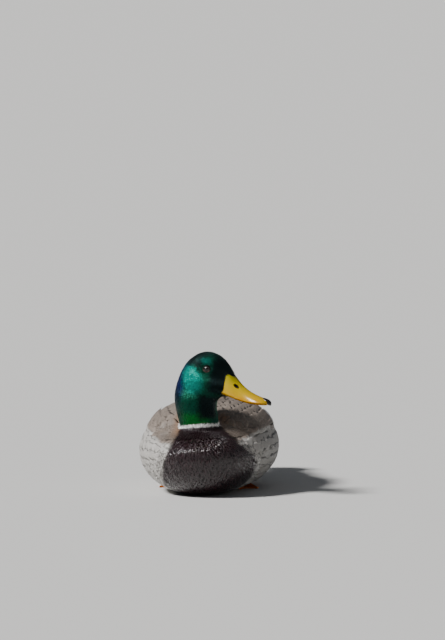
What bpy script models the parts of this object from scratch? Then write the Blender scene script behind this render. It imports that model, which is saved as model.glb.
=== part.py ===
"""Drake mallard, life size, sitting on its belly with its head turned to its left.

Metres, +Z up. The bird heads along -Y, its own left side is +X, and the belly and the
feet rest on z = 0. The body, the neck and the head are lofts through a few named
stations. Nodes are parted by gaps of about 0.3 mm.
"""
from math import cos, pi, radians, sin

import bmesh
import bpy
import numpy as np
from mathutils import Vector

# ---------------------------------------------------------------- driving dimensions
GAP = 0.0003               # between one node and the next
FRAME_SHIFT = (-0.00348, -0.0405)  # moves the bird so that its box is centred on the origin

# Trunk stations from the breast to the tail root:
# y, half width, lowest z, z of the widest place, highest z
TRUNK_STATIONS = [
    (-0.1660, 0.0000, 0.0510, 0.0510, 0.0510),
    (-0.1615, 0.0230, 0.0295, 0.0510, 0.0665),
    (-0.1460, 0.0450, 0.0120, 0.0515, 0.0770),
    (-0.1180, 0.0655, 0.0015, 0.0520, 0.0870),
    (-0.0850, 0.0785, -0.0015, 0.0530, 0.0980),
    (-0.0450, 0.0865, -0.0020, 0.0540, 0.1075),
    (0.0000, 0.0890, -0.0020, 0.0550, 0.1115),
    (0.0450, 0.0860, -0.0015, 0.0570, 0.1100),
    (0.0850, 0.0750, 0.0040, 0.0610, 0.1050),
    (0.1180, 0.0590, 0.0170, 0.0670, 0.0990),
    (0.1480, 0.0430, 0.0370, 0.0735, 0.0935),
    (0.1750, 0.0320, 0.0590, 0.0785, 0.0900),
    (0.1950, 0.0270, 0.0735, 0.0810, 0.0885),
]
TRUNK_RING = 32            # points round the trunk
TRUNK_FULLNESS_TOP = 1.95  # superellipse exponents: 2 is an ellipse
TRUNK_FULLNESS_BELLY = 2.2
RUMP_SPAN = 9              # the station span where the tail base starts
SPAN_STEPS = 2             # rings per span of stations

# Tail fan: y, half width, z of its middle, half thickness
TAIL_STATIONS = [
    (0.1950, 0.0262, 0.0812, 0.0060),
    (0.2060, 0.0320, 0.0824, 0.0036),
    (0.2200, 0.0375, 0.0842, 0.0020),
    (0.2340, 0.0370, 0.0865, 0.0013),
    (0.2430, 0.0270, 0.0880, 0.0009),
    (0.2470, 0.0120, 0.0888, 0.0006),
]
TAIL_DROOP = 0.0040        # how far the fan's sides hang below its middle
TAIL_RING = 20

# Folded wing over the trunk: y, lower and upper edge as angles round the trunk, thickness
WING_STATIONS = [
    (-0.0860, 44.0, 62.0, 0.0010),
    (-0.0760, 34.0, 72.0, 0.0032),
    (-0.0560, 28.0, 80.0, 0.0044),
    (-0.0200, 26.0, 84.0, 0.0050),
    (0.0200, 25.0, 85.0, 0.0052),
    (0.0600, 26.0, 85.0, 0.0052),
    (0.0900, 31.0, 84.0, 0.0048),
    (0.1150, 42.0, 80.0, 0.0038),
    (0.1320, 54.0, 71.0, 0.0020),
]
WING_CLEARANCE = 0.0009    # inner face over the trunk, more than the facets' sag
WING_EDGE = 0.0008
WING_COLUMNS = 10

# Tips of the primaries over the tail base: y, angle round the trunk, half width, half thickness
WING_TIP_STATIONS = [
    (0.1345, 55.0, 0.0085, 0.0014),
    (0.1460, 57.0, 0.0085, 0.0013),
    (0.1600, 60.0, 0.0070, 0.0011),
    (0.1730, 63.0, 0.0045, 0.0009),
    (0.1800, 65.0, 0.0018, 0.0006),
]
WING_TIP_LIFT = 0.0026

# Head frame: origin midway between the eyes, u forward, v to the bird's right, w up
HEAD_ORIGIN = Vector((0.0162, -0.1050, 0.1668))
HEAD_TURN = 72.0           # from straight ahead towards the bird's left
HEAD_PITCH = 10.0          # bill down

# Head sections: w, u of the back, u of the widest place, u of the front, half width
HEAD_STATIONS = [
    (-0.0330, -0.0445, -0.0160, 0.0190, 0.0240),
    (-0.0286, -0.0442, -0.0150, 0.0285, 0.0232),
    (-0.0220, -0.0432, -0.0140, 0.0335, 0.0226),
    (-0.0150, -0.0418, -0.0130, 0.0350, 0.0216),
    (-0.0087, -0.0398, -0.0120, 0.0362, 0.0207),
    (-0.0040, -0.0379, -0.0110, 0.0358, 0.0201),
    (0.0015, -0.0350, -0.0100, 0.0322, 0.0191),
    (0.0065, -0.0314, -0.0090, 0.0272, 0.0176),
    (0.0120, -0.0255, -0.0080, 0.0212, 0.0150),
    (0.0161, -0.0205, -0.0070, 0.0150, 0.0121),
    (0.0194, -0.0135, -0.0060, 0.0065, 0.0076),
    (0.0209, -0.0060, -0.0060, -0.0060, 0.0000),
]
FACE_POINT = 1.75          # exponent of the front of a head section: below 2 is wedged
NAPE_FULLNESS = 2.1

# Neck sections from the trunk up: centre x, y, z, turn of the section, pitch, radius
NECK_STATIONS = [
    (0.0000, -0.0960, 0.0600, 10.0, 0.0, 0.0400),
    (0.0000, -0.0980, 0.0750, 15.0, 0.0, 0.0290),
    (-0.0006, -0.0990, 0.0890, 25.0, 0.0, 0.0258),
    (-0.0030, -0.0995, 0.1030, 35.0, 2.0, 0.0262),
    (-0.0054, -0.0990, 0.1160, 48.0, 5.0, 0.0270),
    (-0.0064, -0.0985, 0.1280, 60.0, 8.0, 0.0272),
]
HEAD_RING = 24

# Upper bill: u, half width, w of the ridge, w of the cutting edge, exponent of its arch
BILL_STATIONS = [
    (0.0180, 0.0102, -0.0004, -0.0262, 8.0),
    (0.0270, 0.0112, -0.0010, -0.0268, 8.0),
    (0.0377, 0.0108, -0.0058, -0.0284, 3.0),
    (0.0460, 0.0103, -0.0118, -0.0297, 2.3),
    (0.0560, 0.0107, -0.0170, -0.0304, 2.0),
    (0.0660, 0.0117, -0.0203, -0.0303, 1.9),
    (0.0750, 0.0122, -0.0221, -0.0293, 1.9),
    (0.0820, 0.0112, -0.0233, -0.0283, 1.9),
    (0.0870, 0.0078, -0.0247, -0.0280, 1.9),
    (0.0892, 0.0030, -0.0262, -0.0278, 1.9),
]
BILL_LIP = 0.0010          # depth of the rim below the cutting edge line
LOWER_BILL_STATIONS = [    # u, half width, w of the upper side, w of the keel
    (0.0180, 0.0080, -0.0278, -0.0296),
    (0.0270, 0.0090, -0.0283, -0.0302),
    (0.0460, 0.0086, -0.0312, -0.0328),
    (0.0560, 0.0088, -0.0319, -0.0337),
    (0.0660, 0.0094, -0.0318, -0.0337),
    (0.0780, 0.0092, -0.0308, -0.0325),
    (0.0840, 0.0066, -0.0299, -0.0316),
    (0.0862, 0.0024, -0.0298, -0.0309),
]
NAIL_CENTRE = (0.0880, 0.0, -0.0265)
NAIL_SIZE = (0.0085, 0.0056, 0.0080)

EYE_CENTRE = (0.0, 0.0150, 0.0)
EYE_RADIUS = 0.0050

# Foot tucked under the belly: base of the toes, toes forward
FOOT_BASE = (0.0450, 0.0330)
FOOT_SPLAY = -2.0          # degrees outwards
TOES = [                   # angle, length with claw, height of the joint ridge
    (-25.0, 0.0440, 0.0045),
    (0.0, 0.0550, 0.0050),
    (25.0, 0.0500, 0.0045),
]
WEB_REACH = 0.80           # of the toes' length, midway between two toes
WEB_THICKNESS = 0.0013
TOE_WIDTH = 0.0040
SHANK_STATIONS = [         # y, z, radius, from the toes to the ankle and up into the belly
    (0.0290, 0.0046, 0.0036),
    (0.0420, 0.0050, 0.0040),
    (0.0570, 0.0054, 0.0042),
    (0.0670, 0.0084, 0.0054),
    (0.0650, 0.0160, 0.0052),
    (0.0560, 0.0250, 0.0062),
]
SHANK_RING = 10
POCKET_CENTRE = (0.0460, 0.0230, 0.0)
POCKET_SIZE = (0.0275, 0.0720, 0.0200)

# Curled feathers over the tail: one curl a side
CURL_BASE = (0.0052, 0.1690)
CURL_RADIUS = 0.0125
CURL_SWEEP = 250.0
CURL_WIDTH = 0.0040        # half width
CURL_THICKNESS = 0.0008

# Colours (linear), roughness
FINISHES = {
    "head": ((0.004, 0.060, 0.040), 0.35),
    "neck": ((0.006, 0.080, 0.030), 0.40),
    "trunk": ((0.300, 0.270, 0.240), 0.75),
    "tail_base": ((0.012, 0.012, 0.015), 0.55),
    "tail": ((0.560, 0.520, 0.460), 0.70),
    "curl": ((0.010, 0.014, 0.014), 0.40),
    "wing": ((0.190, 0.150, 0.120), 0.70),
    "wing_tip": ((0.085, 0.070, 0.060), 0.65),
    "bill": ((0.620, 0.500, 0.060), 0.35),
    "nail": ((0.010, 0.009, 0.008), 0.30),
    "eye": ((0.020, 0.009, 0.005), 0.05),
    "foot": ((0.800, 0.220, 0.030), 0.50),
}

for leftover in list(bpy.data.objects):
    bpy.data.objects.remove(leftover, do_unlink=True)

parts = bpy.data.collections.new("drake_mallard")
cutters = bpy.data.collections.new("cutters")
bpy.context.scene.collection.children.link(parts)
bpy.context.scene.collection.children.link(cutters)
root = bpy.data.objects.new("drake_mallard_root", None)
root.location = (FRAME_SHIFT[0], FRAME_SHIFT[1], 0.0)
parts.objects.link(root)


# ---------------------------------------------------------------- helpers
def finish(name):
    """One Principled material for each kind of surface."""
    if name in bpy.data.materials:
        return bpy.data.materials[name]
    colour, roughness = FINISHES[name]
    material = bpy.data.materials.new(name)
    material.use_nodes = True
    shader = material.node_tree.nodes["Principled BSDF"]
    shader.inputs["Base Color"].default_value = (*colour, 1.0)
    shader.inputs["Roughness"].default_value = roughness
    shader.inputs["Metallic"].default_value = 0.0
    return material


def smooth_rows(stations, steps):
    """Catmull-Rom rows through the stations, with steps rows to each span."""
    rows = np.array(stations, dtype=float)
    before = 2 * rows[0] - rows[1]
    after = 2 * rows[-1] - rows[-2]
    points = np.vstack([before, rows, after])
    result = []
    for span in range(len(rows) - 1):
        a, b, c, d = points[span:span + 4]
        for step in range(steps):
            t = step / steps
            result.append(0.5 * (2 * b + (c - a) * t + (2 * a - 5 * b + 4 * c - d) * t ** 2
                                 + (3 * b - a - 3 * c + d) * t ** 3))
    result.append(rows[-1])
    return np.array(result)


def add_part(name, mesh, finish_name, collection=parts):
    mesh.materials.append(finish(finish_name))
    part = bpy.data.objects.new(name, mesh)
    collection.objects.link(part)
    if collection is parts:
        part.parent = root
    return part


def loft_mesh(name, rings):
    """A closed skin over rings of points; a ring of one point is a pole."""
    skin = bmesh.new()
    rows = [[skin.verts.new(point) for point in ring] for ring in rings]
    for row in (rows[0], rows[-1]):
        if len(row) > 1:
            skin.faces.new(row)
    for near, far in zip(rows, rows[1:]):
        count = max(len(near), len(far))
        for i in range(count):
            j = (i + 1) % count
            if len(near) == 1:
                skin.faces.new((near[0], far[i], far[j]))
            elif len(far) == 1:
                skin.faces.new((near[i], near[j], far[0]))
            else:
                skin.faces.new((near[i], near[j], far[j], far[i]))
    bmesh.ops.recalc_face_normals(skin, faces=skin.faces)
    mesh = bpy.data.meshes.new(name)
    skin.to_mesh(mesh)
    skin.free()
    if signed_volume(mesh) < 0:
        mesh.flip_normals()
    mesh.shade_smooth()
    mesh.set_sharp_from_angle(angle=radians(50))
    return mesh


def signed_volume(mesh):
    mesh.calc_loop_triangles()
    total = 0.0
    for triangle in mesh.loop_triangles:
        a, b, c = (mesh.vertices[i].co for i in triangle.vertices)
        total += a.dot(b.cross(c)) / 6
    return total


def grown_cutter(name, mesh, amount=GAP):
    """A copy of a mesh, a little larger all round, kept as a hidden cutter."""
    shape = bmesh.new()
    shape.from_mesh(mesh)
    shape.normal_update()
    moved = [(vertex, vertex.co + vertex.normal * amount) for vertex in shape.verts]
    for vertex, place in moved:
        vertex.co = place
    copy = bpy.data.meshes.new(name)
    shape.to_mesh(copy)
    shape.free()
    return hide_cutter(bpy.data.objects.new(name, copy))


def hide_cutter(cutter):
    for collection in list(cutter.users_collection):
        collection.objects.unlink(cutter)
    cutters.objects.link(cutter)
    cutter.parent = root
    cutter.hide_render = True
    cutter.display_type = "WIRE"
    return cutter


def cut(part, cutter, operation="DIFFERENCE"):
    modifier = part.modifiers.new(cutter.name, "BOOLEAN")
    modifier.object = cutter
    modifier.operation = operation
    modifier.solver = "EXACT"
    return modifier


def ball_mesh(name, centre, size, segments=20, rings=12):
    ball = bmesh.new()
    bmesh.ops.create_uvsphere(ball, u_segments=segments, v_segments=rings, radius=1.0)
    for vertex in ball.verts:
        vertex.co = Vector(vertex.co[k] * size[k] + centre[k] for k in range(3))
    mesh = bpy.data.meshes.new(name)
    ball.to_mesh(mesh)
    ball.free()
    mesh.shade_smooth()
    return mesh


def signed_power(value, power):
    return abs(value) ** power * (1 if value >= 0 else -1)


# ---------------------------------------------------------------- trunk and tail base
def trunk_point(row, angle):
    """A point on the trunk; angle 0 is its left side and 90 degrees the top."""
    y, half_width, low, wide, high = row
    fullness = TRUNK_FULLNESS_TOP if sin(angle) >= 0 else TRUNK_FULLNESS_BELLY
    reach = high - wide if sin(angle) >= 0 else wide - low
    x = half_width * signed_power(cos(angle), 2 / fullness)
    z = wide + reach * signed_power(sin(angle), 2 / fullness)
    return Vector((x, y, max(z, 0.0)))


def trunk_row(y):
    """The trunk's section at any y, read from its smoothed rows."""
    rows = smooth_rows(TRUNK_STATIONS, 8)
    return [float(np.interp(y, rows[:, 0], rows[:, k])) for k in range(rows.shape[1])]


def trunk_surface(y, angle, height):
    """A point that stands a height over the trunk's surface, in the plane of its section."""
    row = trunk_row(y)
    step = radians(1)
    along = trunk_point(row, angle + step) - trunk_point(row, angle - step)
    outward = Vector((along.z, 0.0, -along.x)).normalized()
    return trunk_point(row, angle) + outward * height


def trunk_ring(row):
    if row[1] <= 0:
        return [Vector((0.0, row[0], row[3]))]
    return [trunk_point(row, 2 * pi * i / TRUNK_RING) for i in range(TRUNK_RING)]


trunk_rows = smooth_rows(TRUNK_STATIONS, SPAN_STEPS)
rump_index = RUMP_SPAN * SPAN_STEPS
trunk_rings = [trunk_ring(row) for row in trunk_rows[:rump_index + 1]]
rump_rows = trunk_rows[rump_index:].copy()
rump_rows[0, 0] += GAP
rump_rings = [trunk_ring(row) for row in rump_rows]

trunk = add_part("trunk", loft_mesh("trunk", trunk_rings), "trunk")
tail_base = add_part("tail_base", loft_mesh("tail_base", rump_rings), "tail_base")

trunk_cutter = grown_cutter("trunk_cutter", trunk.data)
pockets = {}
for side, sign in (("left", 1), ("right", -1)):
    centre = (sign * POCKET_CENTRE[0], POCKET_CENTRE[1], POCKET_CENTRE[2])
    name = "foot_pocket_" + side
    pockets[side] = hide_cutter(bpy.data.objects.new(name, ball_mesh(name, centre, POCKET_SIZE)))
    cut(trunk, pockets[side])


# ---------------------------------------------------------------- tail
def tail_ring(row):
    y, half_width, middle, half_thickness = row
    ring = []
    for i in range(TAIL_RING):
        angle = 2 * pi * i / TAIL_RING
        across = cos(angle)
        x = half_width * across
        z = middle - TAIL_DROOP * across ** 2 + half_thickness * signed_power(sin(angle), 0.8)
        ring.append(Vector((x, y, z)))
    return ring


tail_rows = smooth_rows(TAIL_STATIONS, 2)
tail_rows[0, 0] += GAP
add_part("tail", loft_mesh("tail", [tail_ring(row) for row in tail_rows]), "tail")


def curl_mesh(name, sign):
    """A thin strip that leaves the rump and curls up and forward."""
    base_z = trunk_row(CURL_BASE[1])[4] + WING_TIP_LIFT
    rings = []
    steps = 16
    for i in range(steps + 1):
        share = i / steps
        turn = radians(-20 + CURL_SWEEP * share)
        radius = CURL_RADIUS * (1 - 0.45 * share)
        middle = Vector((sign * (CURL_BASE[0] + 0.004 * share), CURL_BASE[1] + 0.016 + radius * sin(turn),
                         base_z + CURL_RADIUS - radius * cos(turn)))
        outward = Vector((0.0, sin(turn), -cos(turn)))
        half_width = CURL_WIDTH * (1 - 0.75 * share ** 3)
        across = Vector((half_width, 0.0, 0.0))
        rings.append([middle + across + outward * CURL_THICKNESS,
                      middle + outward * CURL_THICKNESS * 1.4,
                      middle - across + outward * CURL_THICKNESS,
                      middle - across - outward * CURL_THICKNESS * 0.6,
                      middle + across - outward * CURL_THICKNESS * 0.6])
    return loft_mesh(name, rings)


for side, sign in (("left", 1), ("right", -1)):
    name = "curl_" + side
    add_part(name, curl_mesh(name, sign), "curl")


# ---------------------------------------------------------------- wings
def wing_ring(row, sign):
    y, low, high, thickness = row
    outer = []
    inner = []
    for i in range(WING_COLUMNS + 1):
        share = i / WING_COLUMNS
        angle = radians(low + (high - low) * share)
        height = WING_EDGE + thickness * max(sin(pi * share), 0.0) ** 0.6
        outer.append(trunk_surface(y, angle, WING_CLEARANCE + height))
        inner.append(trunk_surface(y, angle, WING_CLEARANCE))
    ring = outer + inner[::-1]
    return [Vector((sign * point.x, point.y, point.z)) for point in ring]


def wing_tip_ring(row, sign):
    y, turn, half_width, half_thickness = row
    centre = trunk_surface(y, radians(turn), WING_TIP_LIFT)
    beside = trunk_surface(y, radians(turn + 1), WING_TIP_LIFT)
    across = (beside - centre).normalized()
    outward = Vector((across.z, 0.0, -across.x))
    ring = []
    for i in range(12):
        angle = 2 * pi * i / 12
        point = centre + across * half_width * cos(angle) + outward * half_thickness * sin(angle)
        ring.append(Vector((sign * point.x, point.y, point.z)))
    return ring


for side, sign in (("left", 1), ("right", -1)):
    name = "wing_" + side
    rows = smooth_rows(WING_STATIONS, SPAN_STEPS)
    add_part(name, loft_mesh(name, [wing_ring(row, sign) for row in rows]), "wing")
    name = "wing_tip_" + side
    rows = smooth_rows(WING_TIP_STATIONS, SPAN_STEPS)
    add_part(name, loft_mesh(name, [wing_tip_ring(row, sign) for row in rows]), "wing_tip")


# ---------------------------------------------------------------- head and neck
def head_axes(turn, pitch):
    """Forward, right and up of a frame turned to the bird's left and pitched down."""
    level = Vector((sin(radians(turn)), -cos(radians(turn)), 0.0))
    right = Vector((-cos(radians(turn)), -sin(radians(turn)), 0.0))
    forward = level * cos(radians(pitch)) - Vector((0, 0, sin(radians(pitch))))
    up = level * sin(radians(pitch)) + Vector((0, 0, cos(radians(pitch))))
    return forward, right, up


def head_place(u, v, w):
    forward, right, up = head_axes(HEAD_TURN, HEAD_PITCH)
    return HEAD_ORIGIN + forward * u + right * v + up * w


def section_row(centre, turn, pitch, back, front, half_width, face):
    return (*centre, turn, pitch, back, front, half_width, face)


def section_ring(row, lift=0.0):
    centre = Vector(row[0:3])
    turn, pitch, back, front, half_width, face = row[3:9]
    forward, right, up = head_axes(turn, pitch)
    centre = centre + up * lift
    if half_width <= 0:
        return [centre]
    ring = []
    for i in range(HEAD_RING):
        angle = 2 * pi * i / HEAD_RING
        reach = front if cos(angle) >= 0 else back
        fullness = face if cos(angle) >= 0 else NAPE_FULLNESS
        u = reach * signed_power(cos(angle), 2 / fullness)
        v = half_width * signed_power(sin(angle), 2 / fullness)
        ring.append(centre + forward * u + right * v)
    return ring


neck_sections = [section_row((x, y, z), turn, pitch, radius, radius, radius, 2.0)
                 for x, y, z, turn, pitch, radius in NECK_STATIONS]
head_sections = [section_row(head_place(widest, 0, w), HEAD_TURN, HEAD_PITCH, widest - back,
                             front - widest, half_width, FACE_POINT)
                 for w, back, widest, front, half_width in HEAD_STATIONS]
section_rows = smooth_rows(neck_sections + head_sections, SPAN_STEPS)
head_start = len(NECK_STATIONS) * SPAN_STEPS - SPAN_STEPS // 2

neck_rings = [section_ring(row) for row in section_rows[:head_start + 1]]
head_rings = [section_ring(section_rows[head_start], GAP)]
head_rings += [section_ring(row) for row in section_rows[head_start + 1:]]

neck = add_part("neck", loft_mesh("neck", neck_rings), "neck")
cut(neck, trunk_cutter)
head = add_part("head", loft_mesh("head", head_rings), "head")
head_cutter = grown_cutter("head_cutter", head.data)

for side, sign in (("left", -1), ("right", 1)):
    name = "eye_" + side
    centre = head_place(EYE_CENTRE[0], sign * EYE_CENTRE[1], EYE_CENTRE[2])
    eye = add_part(name, ball_mesh(name, centre, (EYE_RADIUS,) * 3, 14, 8), "eye")
    cut(head, grown_cutter("eye_socket_" + side, eye.data))


# ---------------------------------------------------------------- bill
def bill_ring(row):
    u, half_width, ridge, edge, fullness = row
    ring = []
    arch = 10
    for i in range(arch + 1):
        angle = pi * i / arch
        v = half_width * signed_power(cos(angle), 2 / fullness)
        w = edge + (ridge - edge) * signed_power(sin(angle), 2 / fullness)
        ring.append(head_place(u, v, w))
    for share in (-0.86, -0.4, 0.4, 0.86):
        drop = BILL_LIP * (1 - 0.5 * (abs(share) < 0.5))
        ring.append(head_place(u, half_width * share, edge - drop))
    return ring


def lower_bill_ring(row):
    u, half_width, top, keel = row
    ring = []
    count = 10
    for i in range(count + 1):
        angle = pi * i / count
        v = half_width * cos(angle)
        w = top + (keel - top) * signed_power(sin(angle), 0.7)
        ring.append(head_place(u, v, w))
    return ring


def head_ball(name, centre, size):
    """An ellipsoid in the head's own frame."""
    mesh = ball_mesh(name, (0, 0, 0), (1, 1, 1), 16, 10)
    for vertex in mesh.vertices:
        u, v, w = (centre[k] + vertex.co[k] * size[k] for k in range(3))
        vertex.co = head_place(u, v, w)
    if signed_volume(mesh) < 0:
        mesh.flip_normals()
    return bpy.data.objects.new(name, mesh)


bill_rows = smooth_rows(BILL_STATIONS, SPAN_STEPS)
bill_rings = [bill_ring(row) for row in bill_rows]
upper_bill = add_part("bill_upper", loft_mesh("bill_upper", bill_rings), "bill")
cut(upper_bill, head_cutter)
nail_cutter = hide_cutter(head_ball("nail_cutter", NAIL_CENTRE, NAIL_SIZE))
cut(upper_bill, grown_cutter("nail_seat", nail_cutter.data))
nail = add_part("bill_nail", loft_mesh("bill_nail", bill_rings), "nail")
cut(nail, nail_cutter, "INTERSECT")

lower_rows = smooth_rows(LOWER_BILL_STATIONS, SPAN_STEPS)
lower_bill = add_part("bill_lower", loft_mesh("bill_lower", [lower_bill_ring(row) for row in lower_rows]),
                      "bill")
cut(lower_bill, head_cutter)


# ---------------------------------------------------------------- legs and feet
def foot_outline(angle):
    """How far the foot reaches at an angle, and how high its toes stand there."""
    reach = 0.0
    height = 0.0
    for toe_angle, length, ridge in TOES:
        away = abs(angle - toe_angle)
        reach = max(reach, length * (WEB_REACH + (1 - WEB_REACH) * max(1 - away / 5, 0)))
        height = max(height, ridge * max(1 - (away / 6) ** 2, 0))
    return reach, height


def foot_mesh(name, sign):
    """A webbed foot: a flat sole and an upper side that rises over three toes."""
    columns = 24
    rows = 6
    edge = 30.0
    top = []
    bottom = []
    for i in range(columns + 1):
        angle = -edge + 2 * edge * i / columns
        reach, ridge = foot_outline(angle)
        heading = radians(angle + FOOT_SPLAY)
        direction = Vector((sign * sin(heading), -cos(heading), 0))
        near = 0.006
        for share in np.linspace(0, 1, rows):
            distance = near + (reach - near) * share
            place = Vector((sign * FOOT_BASE[0], FOOT_BASE[1], 0)) + direction * distance
            height = WEB_THICKNESS + ridge * (1 - 0.75 * share) + 0.0045 * max(0, 1 - 3 * share)
            top.append(place + Vector((0, 0, height)))
            bottom.append(place)
    skin = bmesh.new()
    upper = [skin.verts.new(point) for point in top]
    lower = [skin.verts.new(point) for point in bottom]

    def at(layer, column, row):
        return layer[column * rows + row]

    for column in range(columns):
        for row in range(rows - 1):
            for layer in (upper, lower):
                skin.faces.new((at(layer, column, row), at(layer, column + 1, row),
                                at(layer, column + 1, row + 1), at(layer, column, row + 1)))
    rim = [(column, 0) for column in range(columns + 1)]
    rim += [(columns, row) for row in range(1, rows)]
    rim += [(column, rows - 1) for column in range(columns - 1, -1, -1)]
    rim += [(0, row) for row in range(rows - 2, 0, -1)]
    for here, there in zip(rim, rim[1:] + rim[:1]):
        skin.faces.new((at(upper, *here), at(upper, *there), at(lower, *there), at(lower, *here)))
    bmesh.ops.recalc_face_normals(skin, faces=skin.faces)
    mesh = bpy.data.meshes.new(name)
    skin.to_mesh(mesh)
    skin.free()
    if signed_volume(mesh) < 0:
        mesh.flip_normals()
    return mesh


def shank_mesh(name, sign):
    """The tarsus lies back from the toes to the ankle, where the leg turns up into the belly."""
    rings = []
    path = smooth_rows(SHANK_STATIONS, SPAN_STEPS)
    for i, (y, z, radius) in enumerate(path):
        before = path[max(i - 1, 0)]
        after = path[min(i + 1, len(path) - 1)]
        along = Vector((0.0, after[0] - before[0], after[1] - before[1])).normalized()
        over = Vector((0.0, -along.z, along.y))
        centre = Vector((sign * FOOT_BASE[0], y, z))
        ring = []
        for k in range(SHANK_RING):
            angle = 2 * pi * k / SHANK_RING
            ring.append(centre + Vector((radius * cos(angle), 0.0, 0.0)) + over * radius * sin(angle))
        rings.append(ring)
    return loft_mesh(name, rings)


for side, sign in (("left", 1), ("right", -1)):
    foot = add_part("foot_" + side, foot_mesh("foot_" + side, sign), "foot")
    leg = add_part("leg_" + side, shank_mesh("leg_" + side, sign), "foot")
    cut(leg, grown_cutter("foot_cutter_" + side, foot.data))
    cut(leg, grown_cutter("leg_room_" + side, pockets[side].data, -GAP), "INTERSECT")
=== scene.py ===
import math

import bmesh
import bpy
import numpy as np
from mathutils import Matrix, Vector
from mathutils.bvhtree import BVHTree


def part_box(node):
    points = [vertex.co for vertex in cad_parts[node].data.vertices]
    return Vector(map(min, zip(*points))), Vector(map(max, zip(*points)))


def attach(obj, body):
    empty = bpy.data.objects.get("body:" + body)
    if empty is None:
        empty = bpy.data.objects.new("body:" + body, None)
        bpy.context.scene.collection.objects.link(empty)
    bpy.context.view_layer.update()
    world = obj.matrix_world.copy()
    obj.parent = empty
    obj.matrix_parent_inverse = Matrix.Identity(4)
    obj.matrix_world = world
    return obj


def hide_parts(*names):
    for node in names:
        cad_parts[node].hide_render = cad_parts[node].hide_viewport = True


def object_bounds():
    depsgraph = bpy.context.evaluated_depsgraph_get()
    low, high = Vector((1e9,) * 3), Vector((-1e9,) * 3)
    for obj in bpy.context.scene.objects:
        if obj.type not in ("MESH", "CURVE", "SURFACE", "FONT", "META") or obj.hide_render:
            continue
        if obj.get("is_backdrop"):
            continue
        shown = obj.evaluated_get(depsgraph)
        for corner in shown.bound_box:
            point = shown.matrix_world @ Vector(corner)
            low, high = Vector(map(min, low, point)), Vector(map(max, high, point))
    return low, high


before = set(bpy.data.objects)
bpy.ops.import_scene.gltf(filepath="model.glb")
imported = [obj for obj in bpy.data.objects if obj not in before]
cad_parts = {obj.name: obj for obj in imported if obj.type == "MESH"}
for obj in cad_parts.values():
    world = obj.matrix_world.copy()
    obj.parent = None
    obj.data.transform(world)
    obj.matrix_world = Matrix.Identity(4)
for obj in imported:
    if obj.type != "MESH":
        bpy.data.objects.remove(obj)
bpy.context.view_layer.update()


# places read from the frame
def boxMiddle(node):
    low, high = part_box(node)
    return (Vector(low) + Vector(high)) / 2


eyeLeft = boxMiddle("eye_left")
eyeRight = boxMiddle("eye_right")
headOrigin = (eyeLeft + eyeRight) / 2
headRight = (eyeRight - eyeLeft).normalized()
towardsNail = boxMiddle("bill_nail") - headOrigin
towardsNail = (towardsNail - headRight * towardsNail.dot(headRight)).normalized()
nailDrop = math.radians(16.8)      # the nail lies this far under the head's own level
headForward = towardsNail * math.cos(nailDrop) + headRight.cross(towardsNail) * math.sin(nailDrop)
headUp = headRight.cross(headForward)
headAxes = np.array([headForward, headRight, headUp])
eyeRadius = (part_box("eye_right")[1][2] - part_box("eye_right")[0][2]) / 2
eyeOut = (eyeRight - headOrigin).length

trunkLow, trunkHigh = (Vector(corner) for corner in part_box("trunk"))
breastReach = 0.166                # from the breast's front to the body's middle
neckAhead = 0.099                  # from the body's middle forward to the neck
bodyAxisHeight = 0.055             # the level that the body is rounded about
headAxisBack = 0.012               # the head is rounded about a line this far behind the eyes
bodyMiddle = Vector(((trunkLow.x + trunkHigh.x) / 2, trunkLow.y + breastReach, 0.0))
neckMiddle = Vector((bodyMiddle.x, bodyMiddle.y - neckAhead, 0.0))
print("frame: %d solids read" % len(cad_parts))


# u runs forward, v to the bird's right and w up in the head
def headPlace(u, v, w):
    return headOrigin + headForward * u + headRight * v + headUp * w


def inHead(points):
    return (points - np.array(headOrigin)) @ headAxes.T


def inBody(points):
    return points - np.array(bodyMiddle)


# 0 before the start, 1 past the end and smooth between
def ramp(values, start, end):
    share = np.clip((values - start) / (end - start), 0.0, 1.0)
    return share * share * (3.0 - 2.0 * share)


def blend(base, colour, mask):
    return base * (1.0 - mask[:, None]) + np.array(colour) * mask[:, None]


def unit(vectors):
    return vectors / np.maximum(np.linalg.norm(vectors, axis=1, keepdims=True), 1e-9)


# plumage markings, with the head's sheen painted in as painted highlights and painted shade: one function
# colours both the skin and the feathers
plumageColours = {
    "green": (0.001, 0.070, 0.040),
    # teal and leaf are painted highlights of the head's green sheen, navy is its painted blue sheen at the
    # edge, and shade is painted shade where the green catches no light
    "tealHighlight": (0.000, 0.270, 0.215),
    "navySheen": (0.004, 0.014, 0.085),
    "leafHighlight": (0.004, 0.150, 0.022),
    "shade": (0.003, 0.011, 0.012),
    "collar": (0.900, 0.890, 0.870),
    "breast": (0.014, 0.0042, 0.0060),
    "flank": (0.400, 0.380, 0.355),
    "belly": (0.540, 0.525, 0.500),
    "mantle": (0.195, 0.158, 0.130),
    "back": (0.095, 0.075, 0.062),
    "rust": (0.300, 0.150, 0.070),
    "rump": (0.008, 0.012, 0.013),
    "vent": (0.007, 0.008, 0.010),
    "patch": (0.760, 0.745, 0.720),
    "tertial": (0.150, 0.112, 0.086),
    "covert": (0.150, 0.120, 0.100),
    "barBlue": (0.012, 0.035, 0.210),
    "primary": (0.052, 0.042, 0.036),
    "tail": (0.170, 0.150, 0.130),
}
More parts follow.
